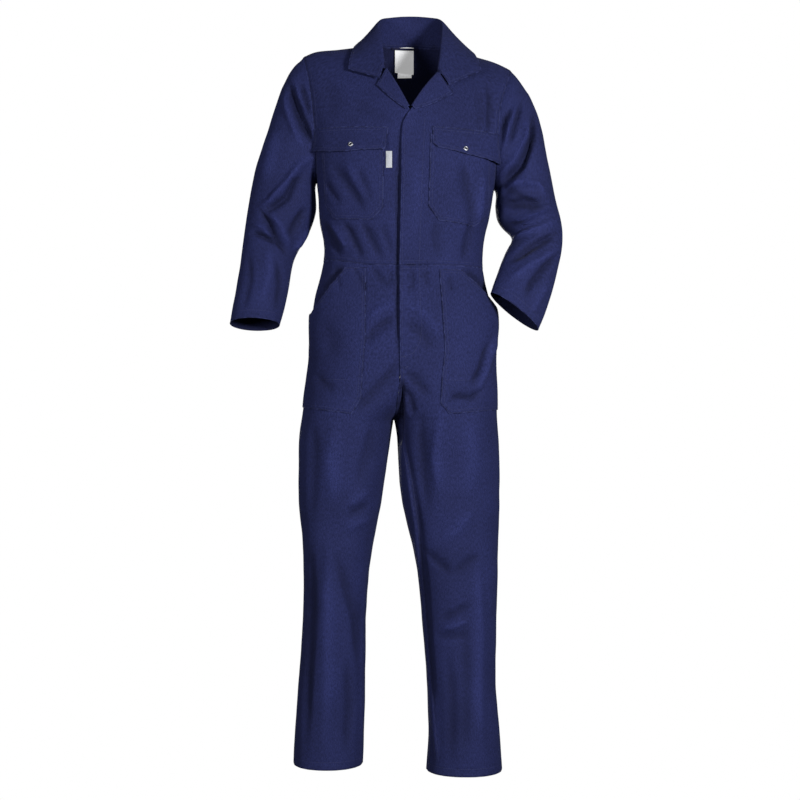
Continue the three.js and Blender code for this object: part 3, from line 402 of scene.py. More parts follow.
def tree_of(points):
    tree = KDTree(len(points))
    for index, point in enumerate(points):
        tree.insert(point, index)
    tree.balance()
    return tree


def distance_to(points, tree):
    return np.array([tree.find(point)[2] for point in points])


PANELS = [
    "front_right", "front_left", "back", "trouser_front_right", "trouser_front_left",
    "trouser_back_right", "trouser_back_left", "sleeve_right", "sleeve_left",
]
cloth = {node: outer_sheet(node) for node in [*PANELS, "collar", "lapel_right", "lapel_left"]}
traces = {node: edge_trace(cloth[node]) for node in PANELS}
trees = {node: tree_of(traces[node]) for node in PANELS}

# The armhole seams, where the creases fade because body and sleeve face different ways
armholes = tree_of([
    point
    for side in ("right", "left")
    for point in traces[f"sleeve_{side}"]
    if min(trees[f"front_{side}"].find(point)[2], trees["back"].find(point)[2]) < 3 * SEAM_REACH
])
ARMHOLE_FADE = 12 * MM


def note(piece, name, values):
    attribute = piece.data.attributes.new(name, "FLOAT", "POINT")
    attribute.data.foreach_set("value", np.ascontiguousarray(values, dtype=np.float32))


def unevenness(points):
    return np.array([
        sum(height * noise.noise(Vector(point) / wave) for wave, height in UNEVEN)
        for point in points
    ])


def crease(piece, kind):
    """Moves a sheet's cloth along its normals by the creases of its place, and by slight unevenness."""
    points, facing = positions(piece), normals(piece)
    places = points[:, [0, 2]]
    fade = smooth(distance_to(points, armholes) / ARMHOLE_FADE)
    if kind == "sleeve":
        front = crease_height(places, SLEEVE_FRONT_CREASES, 0.06) * smooth(-facing[:, 1] * 2.4)
        back = crease_height(places, SLEEVE_BACK_CREASES, -0.06) * smooth(facing[:, 1] * 2.4)
        moved = front + back
    elif kind == "front":
        moved = crease_height(places, FRONT_CREASES, 0.12) * smooth(-facing[:, 1] * 2.2)
    else:
        moved = crease_height(places, BACK_CREASES, -0.12) * smooth(facing[:, 1] * 2.2)
    moved = moved * fade + unevenness(points) * (0.35 + 0.65 * fade)
    # the fold height is kept for the material, which paints shade in troughs and a highlight on ridges
    note(piece, "fold", moved / MM)
    place(piece, points + facing * moved[:, None])


for node in PANELS:
    kind = "sleeve" if node.startswith("sleeve") else "back" if "back" in node else "front"
    crease(cloth[node], kind)

# The wearer's left front stands proud along its free edge, down the fly
FLY_EDGE = [(1, -170), (-0.5, -300), (-4.5, -470), (-4, -664)]
FLY_STAND, FLY_REACH = 3.2 * MM, 20 * MM
for node in ("front_left", "trouser_front_left"):
    points, facing = positions(cloth[node]), normals(cloth[node])
    zs, xs = zip(*[(z * MM, x * MM) for x, z in reversed(FLY_EDGE)])
    away = np.abs(points[:, 0] - np.interp(points[:, 2], zs, xs))
    held = smooth((points[:, 2] - zs[0]) / (60 * MM)) * smooth(-facing[:, 1] * 2)
    place(cloth[node], points + facing * (FLY_STAND * (1 - smooth(away / FLY_REACH)) * held)[:, None])


# Edges this near to another panel are drawn to it, by a share of the way, and set in a little
SEAM_GAP, SEAM_PULL, SEAM_SINK = 6 * MM, 0.55, 1.5 * MM
COLLAR_GAP = 12 * MM  # the collar's edge goes all the way
FLY_HALF, FLY_LOW = 24 * MM, -735 * MM  # the fronts lap here and aren't joined


def close_seams():
    """Brings the edges of neighbouring panels together where they are sewn."""
    creased = {node: tree_of(edge_trace(cloth[node])) for node in PANELS}
    for node in [*PANELS, "collar"]:
        bm = bmesh.new()
        bm.from_mesh(cloth[node].data)
        for vert in bm.verts:
            in_lap = abs(vert.co.x) < FLY_HALF and vert.co.z > FLY_LOW and vert.co.y < 0
            if vert.is_boundary and not in_lap:
                spots = [creased[other].find(vert.co) for other in PANELS if other != node]
                spot, _, gap = min(spots, key=lambda found: found[2])
                if gap < (COLLAR_GAP if node == "collar" else SEAM_GAP):
                    vert.co += (spot - vert.co) * (1 if node == "collar" else SEAM_PULL)
                    vert.co.y -= vert.normal.y * SEAM_SINK
        bm.to_mesh(cloth[node].data)
        bm.free()


close_seams()

# Patches sewn on the panels, as corners in millimetres seen from the front
OUTLINES = {
    "chest_pocket_right": [
        (-174, -205), (-41.5, -205), (-43, -358), (-67.5, -382.5), (-145.5, -377), (-165, -346),
    ],
    "chest_pocket_left": [(54.5, -205), (181, -205), (179, -366), (146, -391), (72, -383), (50, -354)],
    "chest_flap_right": [
        (-200, -182.5), (-32, -190.5), (-38.5, -239), (-110, -240), (-150, -237), (-200, -226),
    ],
    "chest_flap_left": [(58.5, -188.5), (210, -194), (210, -257), (130, -245), (69, -233.5), (59.5, -226)],
    "hip_pocket_right": [
        (-123, -478.5), (-79, -479.5), (-79.5, -614), (-89, -751), (-109, -785), (-240, -769),
        (-240, -592), (-191, -571),
    ],
    "hip_pocket_left": [
        (120, -482.5), (73, -483), (80, -579), (85, -650), (78, -712), (75.5, -763), (94.5, -785),
        (240, -774), (240, -592), (197, -571),
    ],
    "pocket_tab": [(-37.5, -241.5), (-25, -241.5), (-25, -276), (-37.5, -276)],
    "neck_label_under": [(-14, 24), (-14, -41), (17, -40), (17, 24)],
    "neck_label": [(-21, 26), (-21, -29), (22, -33), (22, 26)],
}
PATCHES = {
    "chest_pocket_right": "front_right", "chest_pocket_left": "front_left",
    "chest_flap_right": "front_right", "chest_flap_left": "front_left",
    "hip_pocket_right": "trouser_front_right", "hip_pocket_left": "trouser_front_left",
    "pocket_tab": "front_right", "neck_label_under": "back", "neck_label": "back",
}
LAYER = 2.1 * MM  # outer face of one layer over another
LABEL_LAYER = 1.35 * MM
POCKET_PUFF = 1.3 * MM
FLAP_STAND = 6 * MM  # how far a flap's free edge stands off
MOUTH_STAND = {"hip_pocket_right": 6 * MM, "hip_pocket_left": 10 * MM}
MOUTH_REACH = 78 * MM
LABEL_CURL = 4 * MM


def inside_outline(point, outline):
    """True where a point lies inside the corners, seen from the front."""
    inside = False
    for (x0, z0), (x1, z1) in zip(outline, outline[1:] + outline[:1]):
        if (z0 * MM > point.z) != (z1 * MM > point.z):
            crossing = x0 + (x1 - x0) * (point.z / MM - z0) / (z1 - z0)
            inside ^= point.x / MM < crossing
    return inside


def patch(name):
    """A second layer cut out of a panel along its outline."""
    outline = OUTLINES[name]
    bm = bmesh.new()
    bm.from_mesh(cloth[PATCHES[name]].data)
    xs, zs = zip(*outline)
    margin = CELL
    far = [
        face for face in bm.faces
        if not (min(xs) * MM - margin < face.calc_center_median().x < max(xs) * MM + margin)
        or not (min(zs) * MM - margin < face.calc_center_median().z < max(zs) * MM + margin)
    ]
    bmesh.ops.delete(bm, geom=far, context="FACES")
    for (x0, z0), (x1, z1) in zip(outline, outline[1:] + outline[:1]):
        bmesh.ops.bisect_plane(
            bm, geom=[*bm.verts, *bm.edges, *bm.faces], dist=0.02 * MM,
            plane_co=(x0 * MM, 0, z0 * MM), plane_no=(z1 - z0, 0, x0 - x1),
        )
    outside = [face for face in bm.faces if not inside_outline(face.calc_center_median(), outline)]
    bmesh.ops.delete(bm, geom=outside, context="FACES")
    return to_object(f"{name}_cloth", bm)


def line_distance(points, start, end):
    """Distance of points from the line through two corners, and their share along it."""
    start, end = (np.array(corner) * MM for corner in (start, end))
    way = (end - start) / np.linalg.norm(end - start)
    away = points[:, [0, 2]] - start
    aside = np.abs(away[:, 0] * way[1] - away[:, 1] * way[0])
    return aside, (away @ way) / np.linalg.norm(end - start)


def lift(name, points, inset):
    """How far each point of a patch stands off its panel."""
    if name.startswith("chest_flap"):
        zs = [z * MM for _, z in OUTLINES[name]]
        below = smooth((max(zs) - points[:, 2]) / (max(zs) - min(zs)))
        return LAYER * (1 + 0.9 * below) + FLAP_STAND * below ** 2
    if name in MOUTH_STAND:
        aside, share = line_distance(points, OUTLINES[name][0], OUTLINES[name][-1])
        gape = MOUTH_STAND[name] * (1 - smooth(aside / MOUTH_REACH)) * smooth(share * 2.2)
        return LAYER + POCKET_PUFF * smooth(inset / (30 * MM)) + gape
    if name == "neck_label_under":
        return np.full(len(points), -CLOTH - LABEL_LAYER)
    if name == "neck_label":
        below = smooth((OUTLINES[name][0][1] * MM - points[:, 2]) / (40 * MM))
        return -CLOTH - 2 * LABEL_LAYER - LABEL_CURL * below
    if name == "pocket_tab":
        return LABEL_LAYER + 1.5 * MM * smooth(inset / (4 * MM))
    return LAYER + POCKET_PUFF * smooth(inset / (30 * MM))


# Hollows as paths in the picture, given as the creases are. Each sinks the cloth, and shade is painted into
# it there as well.
HOLLOW_SHADE = 2.5  # a hollow is shaded as a crease this many times as deep
# The wearer's right front dips under the fly's edge
FLY_SHADOW = [([(398.8, 120), (398.2, 200), (397.4, 262), (397.4, 330), (398, 372)], 4, 4, -2.3)]

# The wearer's left sleeve is gathered at the elbow and the armhole
SLEEVE_SHADOW = [
    ([(500, 176), (514, 187), (529, 198), (543, 207)], 10, 9, -1.6),
    ([(489, 128), (492, 150), (497, 178)], 6, 6, -1.3),
]
# The collar turns away from the light at its two fold lines, and shade is painted there as well
NECK_SHADOW = [
    ([(388, 26), (388, 44), (388, 60)], 4, 5, -1.2),
    ([(437, 25), (436, 38), (434, 48)], 9, 5, -1.3),
]


def sink(node, hollows, depth, facing_share):
    """Lets a panel's front fall in along some paths, and paints shade on it there."""
    points, facing = positions(cloth[node]), normals(cloth[node])
    sunk = crease_height(points[:, [0, 2]], hollows, depth) * smooth(-facing[:, 1] * facing_share)
    place(cloth[node], points + facing * sunk[:, None])
    attributes = cloth[node].data.attributes
    fold = attributes.get("fold") or attributes.new("fold", "FLOAT", "POINT")
    # the fall is added to the fold height, which the material paints as shade
    for vert, fallen in zip(fold.data, sunk):
        vert.value += HOLLOW_SHADE * fallen / MM


for node in ("front_right", "trouser_front_right"):
    sink(node, FLY_SHADOW, 0.12, 3)
sink("sleeve_left", SLEEVE_SHADOW, 0.12, 2)
sink("collar", NECK_SHADOW, 0.1, 2)

for name in PATCHES:
    piece = cloth[name] = patch(name)
    inset = distance_to(positions(piece), tree_of(edge_trace(piece)))
    place(piece, positions(piece) + normals(piece) * lift(name, positions(piece), inset)[:, None])

# The trousers' cloth falls in behind the open mouths and between the legs, and shade is painted there
HOLLOWS = [
    ([(343, 264), (328, 288), (313, 312)], 13, 13, -4),
    ([(466, 268), (482, 290), (503, 316)], 13, 13, -4),
    ([(402.5, 378), (401.5, 394), (400, 410), (399, 450)], 5, 6, -7),
    ([(404, 396), (406, 444), (412, 483), (419, 528), (421, 557), (428, 632), (434, 708), (439, 776)],
     4, 4, -1.3),
    ([(368, 560), (366, 600), (365, 640), (364, 700), (363, 776)], 4, 4, -1.3),
]
for node in ("trouser_front_right", "trouser_front_left"):
    sink(node, HOLLOWS, 0.1, 3)

cloth["hanging_loop"] = outer_sheet("hanging_loop", 1.0 * MM)

# Seams: the sewn panel, its neighbour, and how far its rows of stitches lie from the seam
SEAMS = [
    ("front_right", "sleeve_right"), ("front_left", "sleeve_left"), ("back", "sleeve_right"),
    ("back", "sleeve_left"), ("back", "front_right"), ("back", "front_left"),
    ("front_right", "trouser_front_right"), ("front_left", "trouser_front_left"),
    ("back", "trouser_back_right"), ("back", "trouser_back_left"),
    ("trouser_back_right", "trouser_front_right"), ("trouser_back_left", "trouser_front_left"),
    ("trouser_back_right", "trouser_back_left"), ("trouser_front_left", "trouser_front_right"),
]
HEM_ROW = 17 * MM
CUFF_TOP, HEM_TOP = -0.45, -1.4  # a free edge below these is a cuff or a hem
HEMMED = ["sleeve_right", "sleeve_left", "trouser_front_right", "trouser_front_left", "trouser_back_right",
          "trouser_back_left"]
FREE = ["collar", "lapel_right", "lapel_left"]
FREE_ROWS = [6 * MM]
SEWN_PATCHES = [name for name in PATCHES if "pocket_" in name and name != "pocket_tab" or "flap" in name]
UNSEWN = 1.0  # distance given to cloth that has no stitching near it


def rows_at(piece, distance, level):
    """Lines over a sheet at one distance from an edge, as chains of points with their normals."""
    points, facing = positions(piece), normals(piece)
    links, spots = {}, {}
    for polygon in piece.data.polygons:
        corners = list(polygon.vertices)
        keys = []
        for a, b in zip(corners, corners[1:] + corners[:1]):
            if (distance[a] < level) != (distance[b] < level):
                key = (min(a, b), max(a, b))
                share = (level - distance[key[0]]) / (distance[key[1]] - distance[key[0]])
                spots[key] = [each[key[0]] * (1 - share) + each[key[1]] * share for each in (points, facing)]
                keys.append(key)
        if len(keys) == 2:
            links.setdefault(keys[0], []).append(keys[1])
            links.setdefault(keys[1], []).append(keys[0])
    chains, left = [], set(links)
    for only_ends in (True, False):
        for start in list(links):
            if start not in left or only_ends and len(links[start]) != 1:
                continue
            chain = [start]
            left.discard(start)
            while onward := [key for key in links[chain[-1]] if key in left]:
                chain.append(onward[0])
                left.discard(onward[0])
            if len(chain) > 2:
                chains.append([spots[key] for key in chain])
    return chains


def stitch_along(curve, chain):
    """Adds one short arched thread after another along a chain."""
    points = np.array([spot[0] for spot in chain])
    facing = np.array([spot[1] for spot in chain])
    steps = np.concatenate([[0], np.cumsum(np.linalg.norm(np.diff(points, axis=0), axis=1))])
    at = STITCH_GAP
    while at + STITCH < steps[-1]:
        spline = curve.splines.new("POLY")
        spline.points.add(2)
        for index, (share, height) in enumerate(ARCH):
            run = at + share * STITCH
            spot = [np.interp(run, steps, points[:, axis]) for axis in range(3)]
            out = np.array([np.interp(run, steps, facing[:, axis]) for axis in range(3)])
            spline.points[index].co = (*(spot + out * height * THREAD), 1)
        at += STITCH + STITCH_GAP


def new_thread(name):
    curve = bpy.data.curves.new(name, "CURVE")
    curve.dimensions = "3D"
    curve.bevel_depth = THREAD
    curve.bevel_resolution = 0
    curve.use_fill_caps = True
    return curve


threads = {
    name: new_thread(f"{name}_stitches")
    for name in ("bodice", "trousers", "sleeves", "patches", "collar")
}


def thread_of(name):
    if name.startswith("sleeve"):
        return threads["sleeves"]
    if name.startswith("trouser"):
        return threads["trousers"]
    if name in ("front_right", "front_left", "back"):
        return threads["bodice"]
    return threads["collar" if name in FREE else "patches"]


sewn = {name: np.full(len(cloth[name].data.vertices), UNSEWN) for name in cloth}


def sew(name, trace, rows):
    """Sews rows of stitches along a stretch of a sheet's edge, and notes how far the cloth is from it."""
    distance = distance_to(positions(cloth[name]), tree_of(trace))
    sewn[name] = np.minimum(sewn[name], distance)
    for row in rows:
        for chain in rows_at(cloth[name], distance, row):
            stitch_along(thread_of(name), chain)


for panel, neighbour in SEAMS:
    sew(panel, [point for point in traces[panel] if trees[neighbour].find(point)[2] < SEAM_REACH], FELLED)
for panel in HEMMED:
    free = [
        point for point in traces[panel]
        if all(trees[other].find(point)[2] > SEAM_REACH for other in PANELS if other != panel)
        and point.z < (CUFF_TOP if panel.startswith("sleeve") else HEM_TOP)
    ]
    sew(panel, free, [HEM_ROW])
for name in FREE:
    sew(name, edge_trace(cloth[name]), FREE_ROWS)
for name in SEWN_PATCHES:
    sew(name, edge_trace(cloth[name]), EDGE_ROWS)

# The fly's stitching and the tacks at its lower end, as places in millimetres seen from the front
FLY_ROWS = [
    [(43, -170), (37, -300), (31, -481), (34, -560), (37, -604), (33, -636), (20, -658), (-4, -667)],
    [(0.5, -183), (-0.5, -300), (-4.5, -470), (-4, -655)],
]
POCKET_ROWS = [[(-190, -712), (-150, -713), (-110, -714)], [(87, -714), (120, -715), (152, -714)]]
# The wearer's left inseam turns to the front of the leg
INSEAM = [(-6, -757), (-3, -849), (11, -928), (24, -1020), (29, -1082), (42, -1240), (56, -1400), (67, -1525)]
INSEAM_ROWS = [0, 6]
TACKS = [((-9, -667), (5, -666)), ((2, -690), (12, -684))]
TACK_WIDTH = 1.1 * MM

FRONTS = [
    "front_left", "front_right", "trouser_front_left", "trouser_front_right", "hip_pocket_right",
    "hip_pocket_left",
]


def surface_of(name):
    """A sheet's faces, for rays to meet."""
    mesh = cloth[name].data
    return BVHTree.FromPolygons(
        [vert.co for vert in mesh.vertices], [list(polygon.vertices) for polygon in mesh.polygons]
    )


surfaces = {name: surface_of(name) for name in FRONTS}


def on_front(x, z):
    """The place and normal of the outermost front cloth at a place seen from the front."""
    best = None
    for name in FRONTS:
        spot, out, _, _ = surfaces[name].ray_cast(Vector((x * MM, -1, z * MM)), Vector((0, 1, 0)))
        if spot and (best is None or spot.y < best[0].y):
            best = (spot, out)
    return best


def drawn_row(places, spacing=3):
    """Points on the front cloth along a path of places."""
    chain = []
    for (x0, z0), (x1, z1) in zip(places, places[1:]):
        count = max(1, round(math.hypot(x1 - x0, z1 - z0) / spacing))
        for step in range(count):
            spot = on_front(x0 + (x1 - x0) * step / count, z0 + (z1 - z0) * step / count)
            if spot:
                chain.append((np.array(spot[0]), np.array(spot[1])))
    return chain


for row in FLY_ROWS:
    stitch_along(threads["bodice"], drawn_row(row))
for row in POCKET_ROWS:
    stitch_along(threads["patches"], drawn_row(row))
for offset in INSEAM_ROWS:
    stitch_along(threads["trousers"], drawn_row([(x + offset, z) for x, z in INSEAM]))
for start, end in TACKS:
    for side in (-1, 0, 1):
        shifted = [(x, z + side * TACK_WIDTH / MM) for x, z in (start, end)]
        stitch_along(threads["bodice"], drawn_row(shifted, 1))

stitches = []
for name, curve in threads.items():
    piece = bpy.data.objects.new(curve.name, curve)
    bpy.context.scene.collection.objects.link(piece)
    graph = bpy.context.evaluated_depsgraph_get()
    mesh = bpy.data.meshes.new_from_object(piece.evaluated_get(graph))
    bpy.data.objects.remove(piece)
    piece = bpy.data.objects.new(f"{name}_stitches", mesh)
    bpy.context.scene.collection.objects.link(piece)
    mesh.shade_smooth()
    stitches.append(piece)

# Cloth coordinates, thickness and edges
TRUNK_AXIS = [(0, 0, 0), (0, 0, -0.5), 0.165]
AXES = {
    "trouser_front_right": [(-0.1, 0, -0.5), (-0.16, 0, -1.5), 0.11],
    "trouser_back_right": [(-0.1, 0, -0.5), (-0.16, 0, -1.5), 0.11],
    "trouser_front_left": [(0.09, 0, -0.5), (0.13, 0, -1.5), 0.11],
    "trouser_back_left": [(0.09, 0, -0.5), (0.13, 0, -1.5), 0.11],
    "sleeve_right": [(-0.215, 0, -0.13), (-0.315, -0.04, -0.59), 0.075],
    "sleeve_left": [(0.22, 0, -0.15), (0.235, -0.07, -0.57), 0.075],
    "collar": [(0.014, 0, 0.1), (0.014, 0, -0.1), 0.09],
}


def lay_grain(piece, name):
    """Gives the cloth its own coordinates in metres: round the garment, and down it."""
    top, low, radius = AXES.get(PATCHES.get(name, name), TRUNK_AXIS)
    top, low = Vector(top), Vector(low)
    down = (low - top).normalized()
    across = (Vector((1, 0, 0)) - down * down.x).normalized()
    front = down.cross(across)
    round_it = 2 * math.pi * radius
    grain = piece.data.uv_layers.new(name="grain")
    spots = []
    for vert in piece.data.vertices:
        away = vert.co - top
        spots.append((math.atan2(away.dot(across), away.dot(front)) * radius, away.dot(down)))
    for polygon in piece.data.polygons:
        turns = [spots[index][0] for index in polygon.vertices]
        wraps = max(turns) - min(turns) > round_it / 2
        for loop, index in zip(polygon.loop_indices, polygon.vertices):
            turn, fall = spots[index]
            grain.data[loop].uv = (turn + round_it if wraps and turn < 0 else turn, fall)


def thicken(piece, thickness):
    """Gives a sheet its thickness inward, with a soft round edge."""
    wall = piece.modifiers.new("wall", "SOLIDIFY")
    wall.thickness = thickness
    wall.offset = -1
    wall.use_even_offset = False
    # the inner faces take the second finish; the twill's is painted darker as shade
    wall.material_offset = 1
    soft = piece.modifiers.new("soft_edge", "BEVEL")
    soft.width = thickness * 0.3
    soft.segments = 2
    soft.limit_method = "ANGLE"
    soft.angle_limit = math.radians(50)
    soft.harden_normals = True
    apply_modifiers(piece)


LABELS = ["pocket_tab", "neck_label", "neck_label_under"]
for name, piece in cloth.items():
    note(piece, "sewn", sewn[name])
    note(piece, "edge", distance_to(positions(piece), tree_of(edge_trace(piece))))
    lay_grain(piece, name)
    piece.data.shade_smooth()
    for _ in ("outside", "inside"):
        piece.data.materials.append(None)
    thicken(piece, LABEL_CLOTH if name in LABELS else PATCH_CLOTH if name in PATCHES else CLOTH)


# Press studs: a rounded ring round a dished cap
STUD_PROFILE = [  # radius and height in millimetres
    (0, 0.5), (1.1, 0.55), (1.9, 0.75), (2.15, 1.2), (2.3, 1.75), (2.9, 2.15), (3.8, 2.2), (4.7, 1.85),
    (5.3, 1.2), (5.5, 0.5), (5.3, 0),
]
STUD_STEPS = 40
SOCKET = 2.4 * MM  # radius of the dished middle


def stud(side):
    node = f"flap_stud_{side}"
    low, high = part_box(node)
    middle = (low + high) / 2
    flap = surface_of(f"chest_flap_{side}")
    spot, out, _, _ = flap.ray_cast(Vector((middle.x, -1, middle.z)), Vector((0, 1, 0)))
    bm = bmesh.new()
    rail = [bm.verts.new((radius * MM, 0, height * MM)) for radius, height in STUD_PROFILE]
    edges = [bm.edges.new(pair) for pair in zip(rail, rail[1:])]
    bmesh.ops.spin(bm, geom=rail + edges, cent=(0, 0, 0), axis=(0, 0, 1), angle=2 * math.pi,
                   steps=STUD_STEPS, use_merge=True)
    bmesh.ops.remove_doubles(bm, verts=bm.verts, dist=SAME_SPOT)
    bmesh.ops.recalc_face_normals(bm, faces=bm.faces)
    for face in bm.faces:
        face.material_index = int(face.calc_center_median().xy.length < SOCKET)
    turn = out.to_track_quat("Z", "Y").to_matrix().to_4x4()
    turn.translation = spot - out * 0.1 * MM
    bmesh.ops.transform(bm, matrix=turn, verts=bm.verts)
    piece = to_object(f"flap_stud_{side}_ring", bm)
    piece.data.shade_smooth()
    return piece


studs = {side: stud(side) for side in ("right", "left")}


# Materials
def nodes_of(material):
    material.use_nodes = True
    tree = material.node_tree
    tree.nodes.clear()
    return tree


def add_node(tree, kind, inputs=None, **settings):
    node = tree.nodes.new(kind)
    for key, value in settings.items():
        setattr(node, key, value)
    for key, value in (inputs or {}).items():
        if isinstance(value, bpy.types.NodeSocket):
            tree.links.new(value, node.inputs[key])
        else:
            node.inputs[key].default_value = value
    return node


def math_node(tree, operation, a, b=0.5, **settings):
    return add_node(tree, "ShaderNodeMath", {0: a, 1: b}, operation=operation, **settings).outputs[0]


def fade_node(tree, value, start, end, low, high):
    node = add_node(
        tree, "ShaderNodeMapRange",
        {"Value": value, "From Min": start, "From Max": end, "To Min": low, "To Max": high},
        interpolation_type="SMOOTHSTEP",
    )
    return node.outputs["Result"]


def twill_group():
    """Diagonal weave with uneven yarns: its height, its light and dark, and its broad tone."""
    group = bpy.data.node_groups.new("twill weave", "ShaderNodeTree")
    face = group.interface
    face.new_socket("Grain", in_out="INPUT", socket_type="NodeSocketVector")
    for name in ("Rib scale", "Yarn scale", "Tone scale"):
        face.new_socket(name, in_out="INPUT", socket_type="NodeSocketFloat")
    for name in ("Height", "Flecks", "Tone"):
        face.new_socket(name, in_out="OUTPUT", socket_type="NodeSocketFloat")
    come, go = group.nodes.new("NodeGroupInput"), group.nodes.new("NodeGroupOutput")
    grain = come.outputs["Grain"]
    turned = add_node(group, "ShaderNodeMapping", {"Vector": grain, "Rotation": (0, 0, math.radians(58))})
    rib = add_node(
        group, "ShaderNodeTexWave",
        {"Vector": turned.outputs[0], "Scale": come.outputs["Rib scale"], "Distortion": 1.2, "Detail": 1.0,
         "Detail Scale": 1.5},
        wave_type="BANDS", bands_direction="X", wave_profile="SIN",
    ).outputs["Fac"]
    stretched = add_node(group, "ShaderNodeMapping", {"Vector": grain, "Scale": (1, 0.45, 1)})
    yarn = add_node(
        group, "ShaderNodeTexNoise",
        {"Vector": stretched.outputs[0], "Scale": come.outputs["Yarn scale"], "Detail": 3.0,
         "Roughness": 0.7},
    ).outputs["Fac"]
    tone = add_node(
        group, "ShaderNodeTexNoise",
        {"Vector": grain, "Scale": come.outputs["Tone scale"], "Detail": 3.0, "Roughness": 0.55},
    ).outputs["Fac"]
    blends = [
        math_node(group, "ADD", *(
            math_node(group, "MULTIPLY", source, share) for source, share in ((rib, of_rib), (yarn, of_yarn))
        ))
        for of_rib, of_yarn in ((0.6, 0.5), (0.3, 0.7))
    ]
    for name, value in zip(("Height", "Flecks", "Tone"), (*blends, tone)):
        group.links.new(value, go.inputs[name])
    return group


def seam_group():
    """Relief of a felled seam: the folded edge, its two rows of stitching, and puckers that fade away."""
    group = bpy.data.node_groups.new("sewn edge", "ShaderNodeTree")
    face = group.interface
    for name in ("Sewn", "Edge"):
        face.new_socket(name, in_out="INPUT", socket_type="NodeSocketFloat")
    face.new_socket("Place", in_out="INPUT", socket_type="NodeSocketVector")
    for name in ("Height", "Wear and highlight"):
        face.new_socket(name, in_out="OUTPUT", socket_type="NodeSocketFloat")
    come, go = group.nodes.new("NodeGroupInput"), group.nodes.new("NodeGroupOutput")
    away = come.outputs["Sewn"]
    ridge = fade_node(group, away, 0.0085, 0.0105, 1.0, 0.0)
    grooves = []
    for row in FELLED:
        off = math_node(group, "ABSOLUTE", math_node(group, "SUBTRACT", away, row))
        grooves.append(fade_node(group, off, 0.0, 0.0014, 1.0, 0.0))
    groove = math_node(group, "MAXIMUM", *grooves)
    pucker = add_node(
        group, "ShaderNodeTexNoise",
        {"Vector": come.outputs["Place"], "Scale": 95.0, "Detail": 2.0, "Roughness": 0.5},
    ).outputs["Fac"]
    near = fade_node(group, away, 0.004, 0.02, 1.0, 0.0)
    puckers = math_node(group, "MULTIPLY", math_node(group, "SUBTRACT", pucker, 0.5), near)
    height = math_node(
        group, "ADD", math_node(group, "MULTIPLY", ridge, 0.45), math_node(group, "MULTIPLY", puckers, 2.6)
    )
    height = math_node(group, "SUBTRACT", height, math_node(group, "MULTIPLY", groove, 0.4))
    # cloth within a few millimetres of any edge is lighter in patches: partly edge wear, partly a painted
    # highlight on the edge
    wear_and_highlight = fade_node(group, come.outputs["Edge"], 0.0, 0.0026, 1.0, 0.0)
    patchy = fade_node(group, pucker, 0.42, 0.62, 0.0, 1.0)
    group.links.new(height, go.inputs["Height"])
    group.links.new(math_node(group, "MULTIPLY", wear_and_highlight, patchy), go.inputs["Wear and highlight"])
    return group


WEAVE, SEWING = twill_group(), seam_group()
YARN_SCALE, TONE_SCALE = 330.0, 9.0


def mix_colour(tree, share, first, second, blend="MIX"):
    node = add_node(tree, "ShaderNodeMix", data_type="RGBA", blend_type=blend)
    for key, value in ((0, share), (6, first), (7, second)):
        if isinstance(value, bpy.types.NodeSocket):
            tree.links.new(value, node.inputs[key])
        else:
            node.inputs[key].default_value = value
    return node.outputs[2]


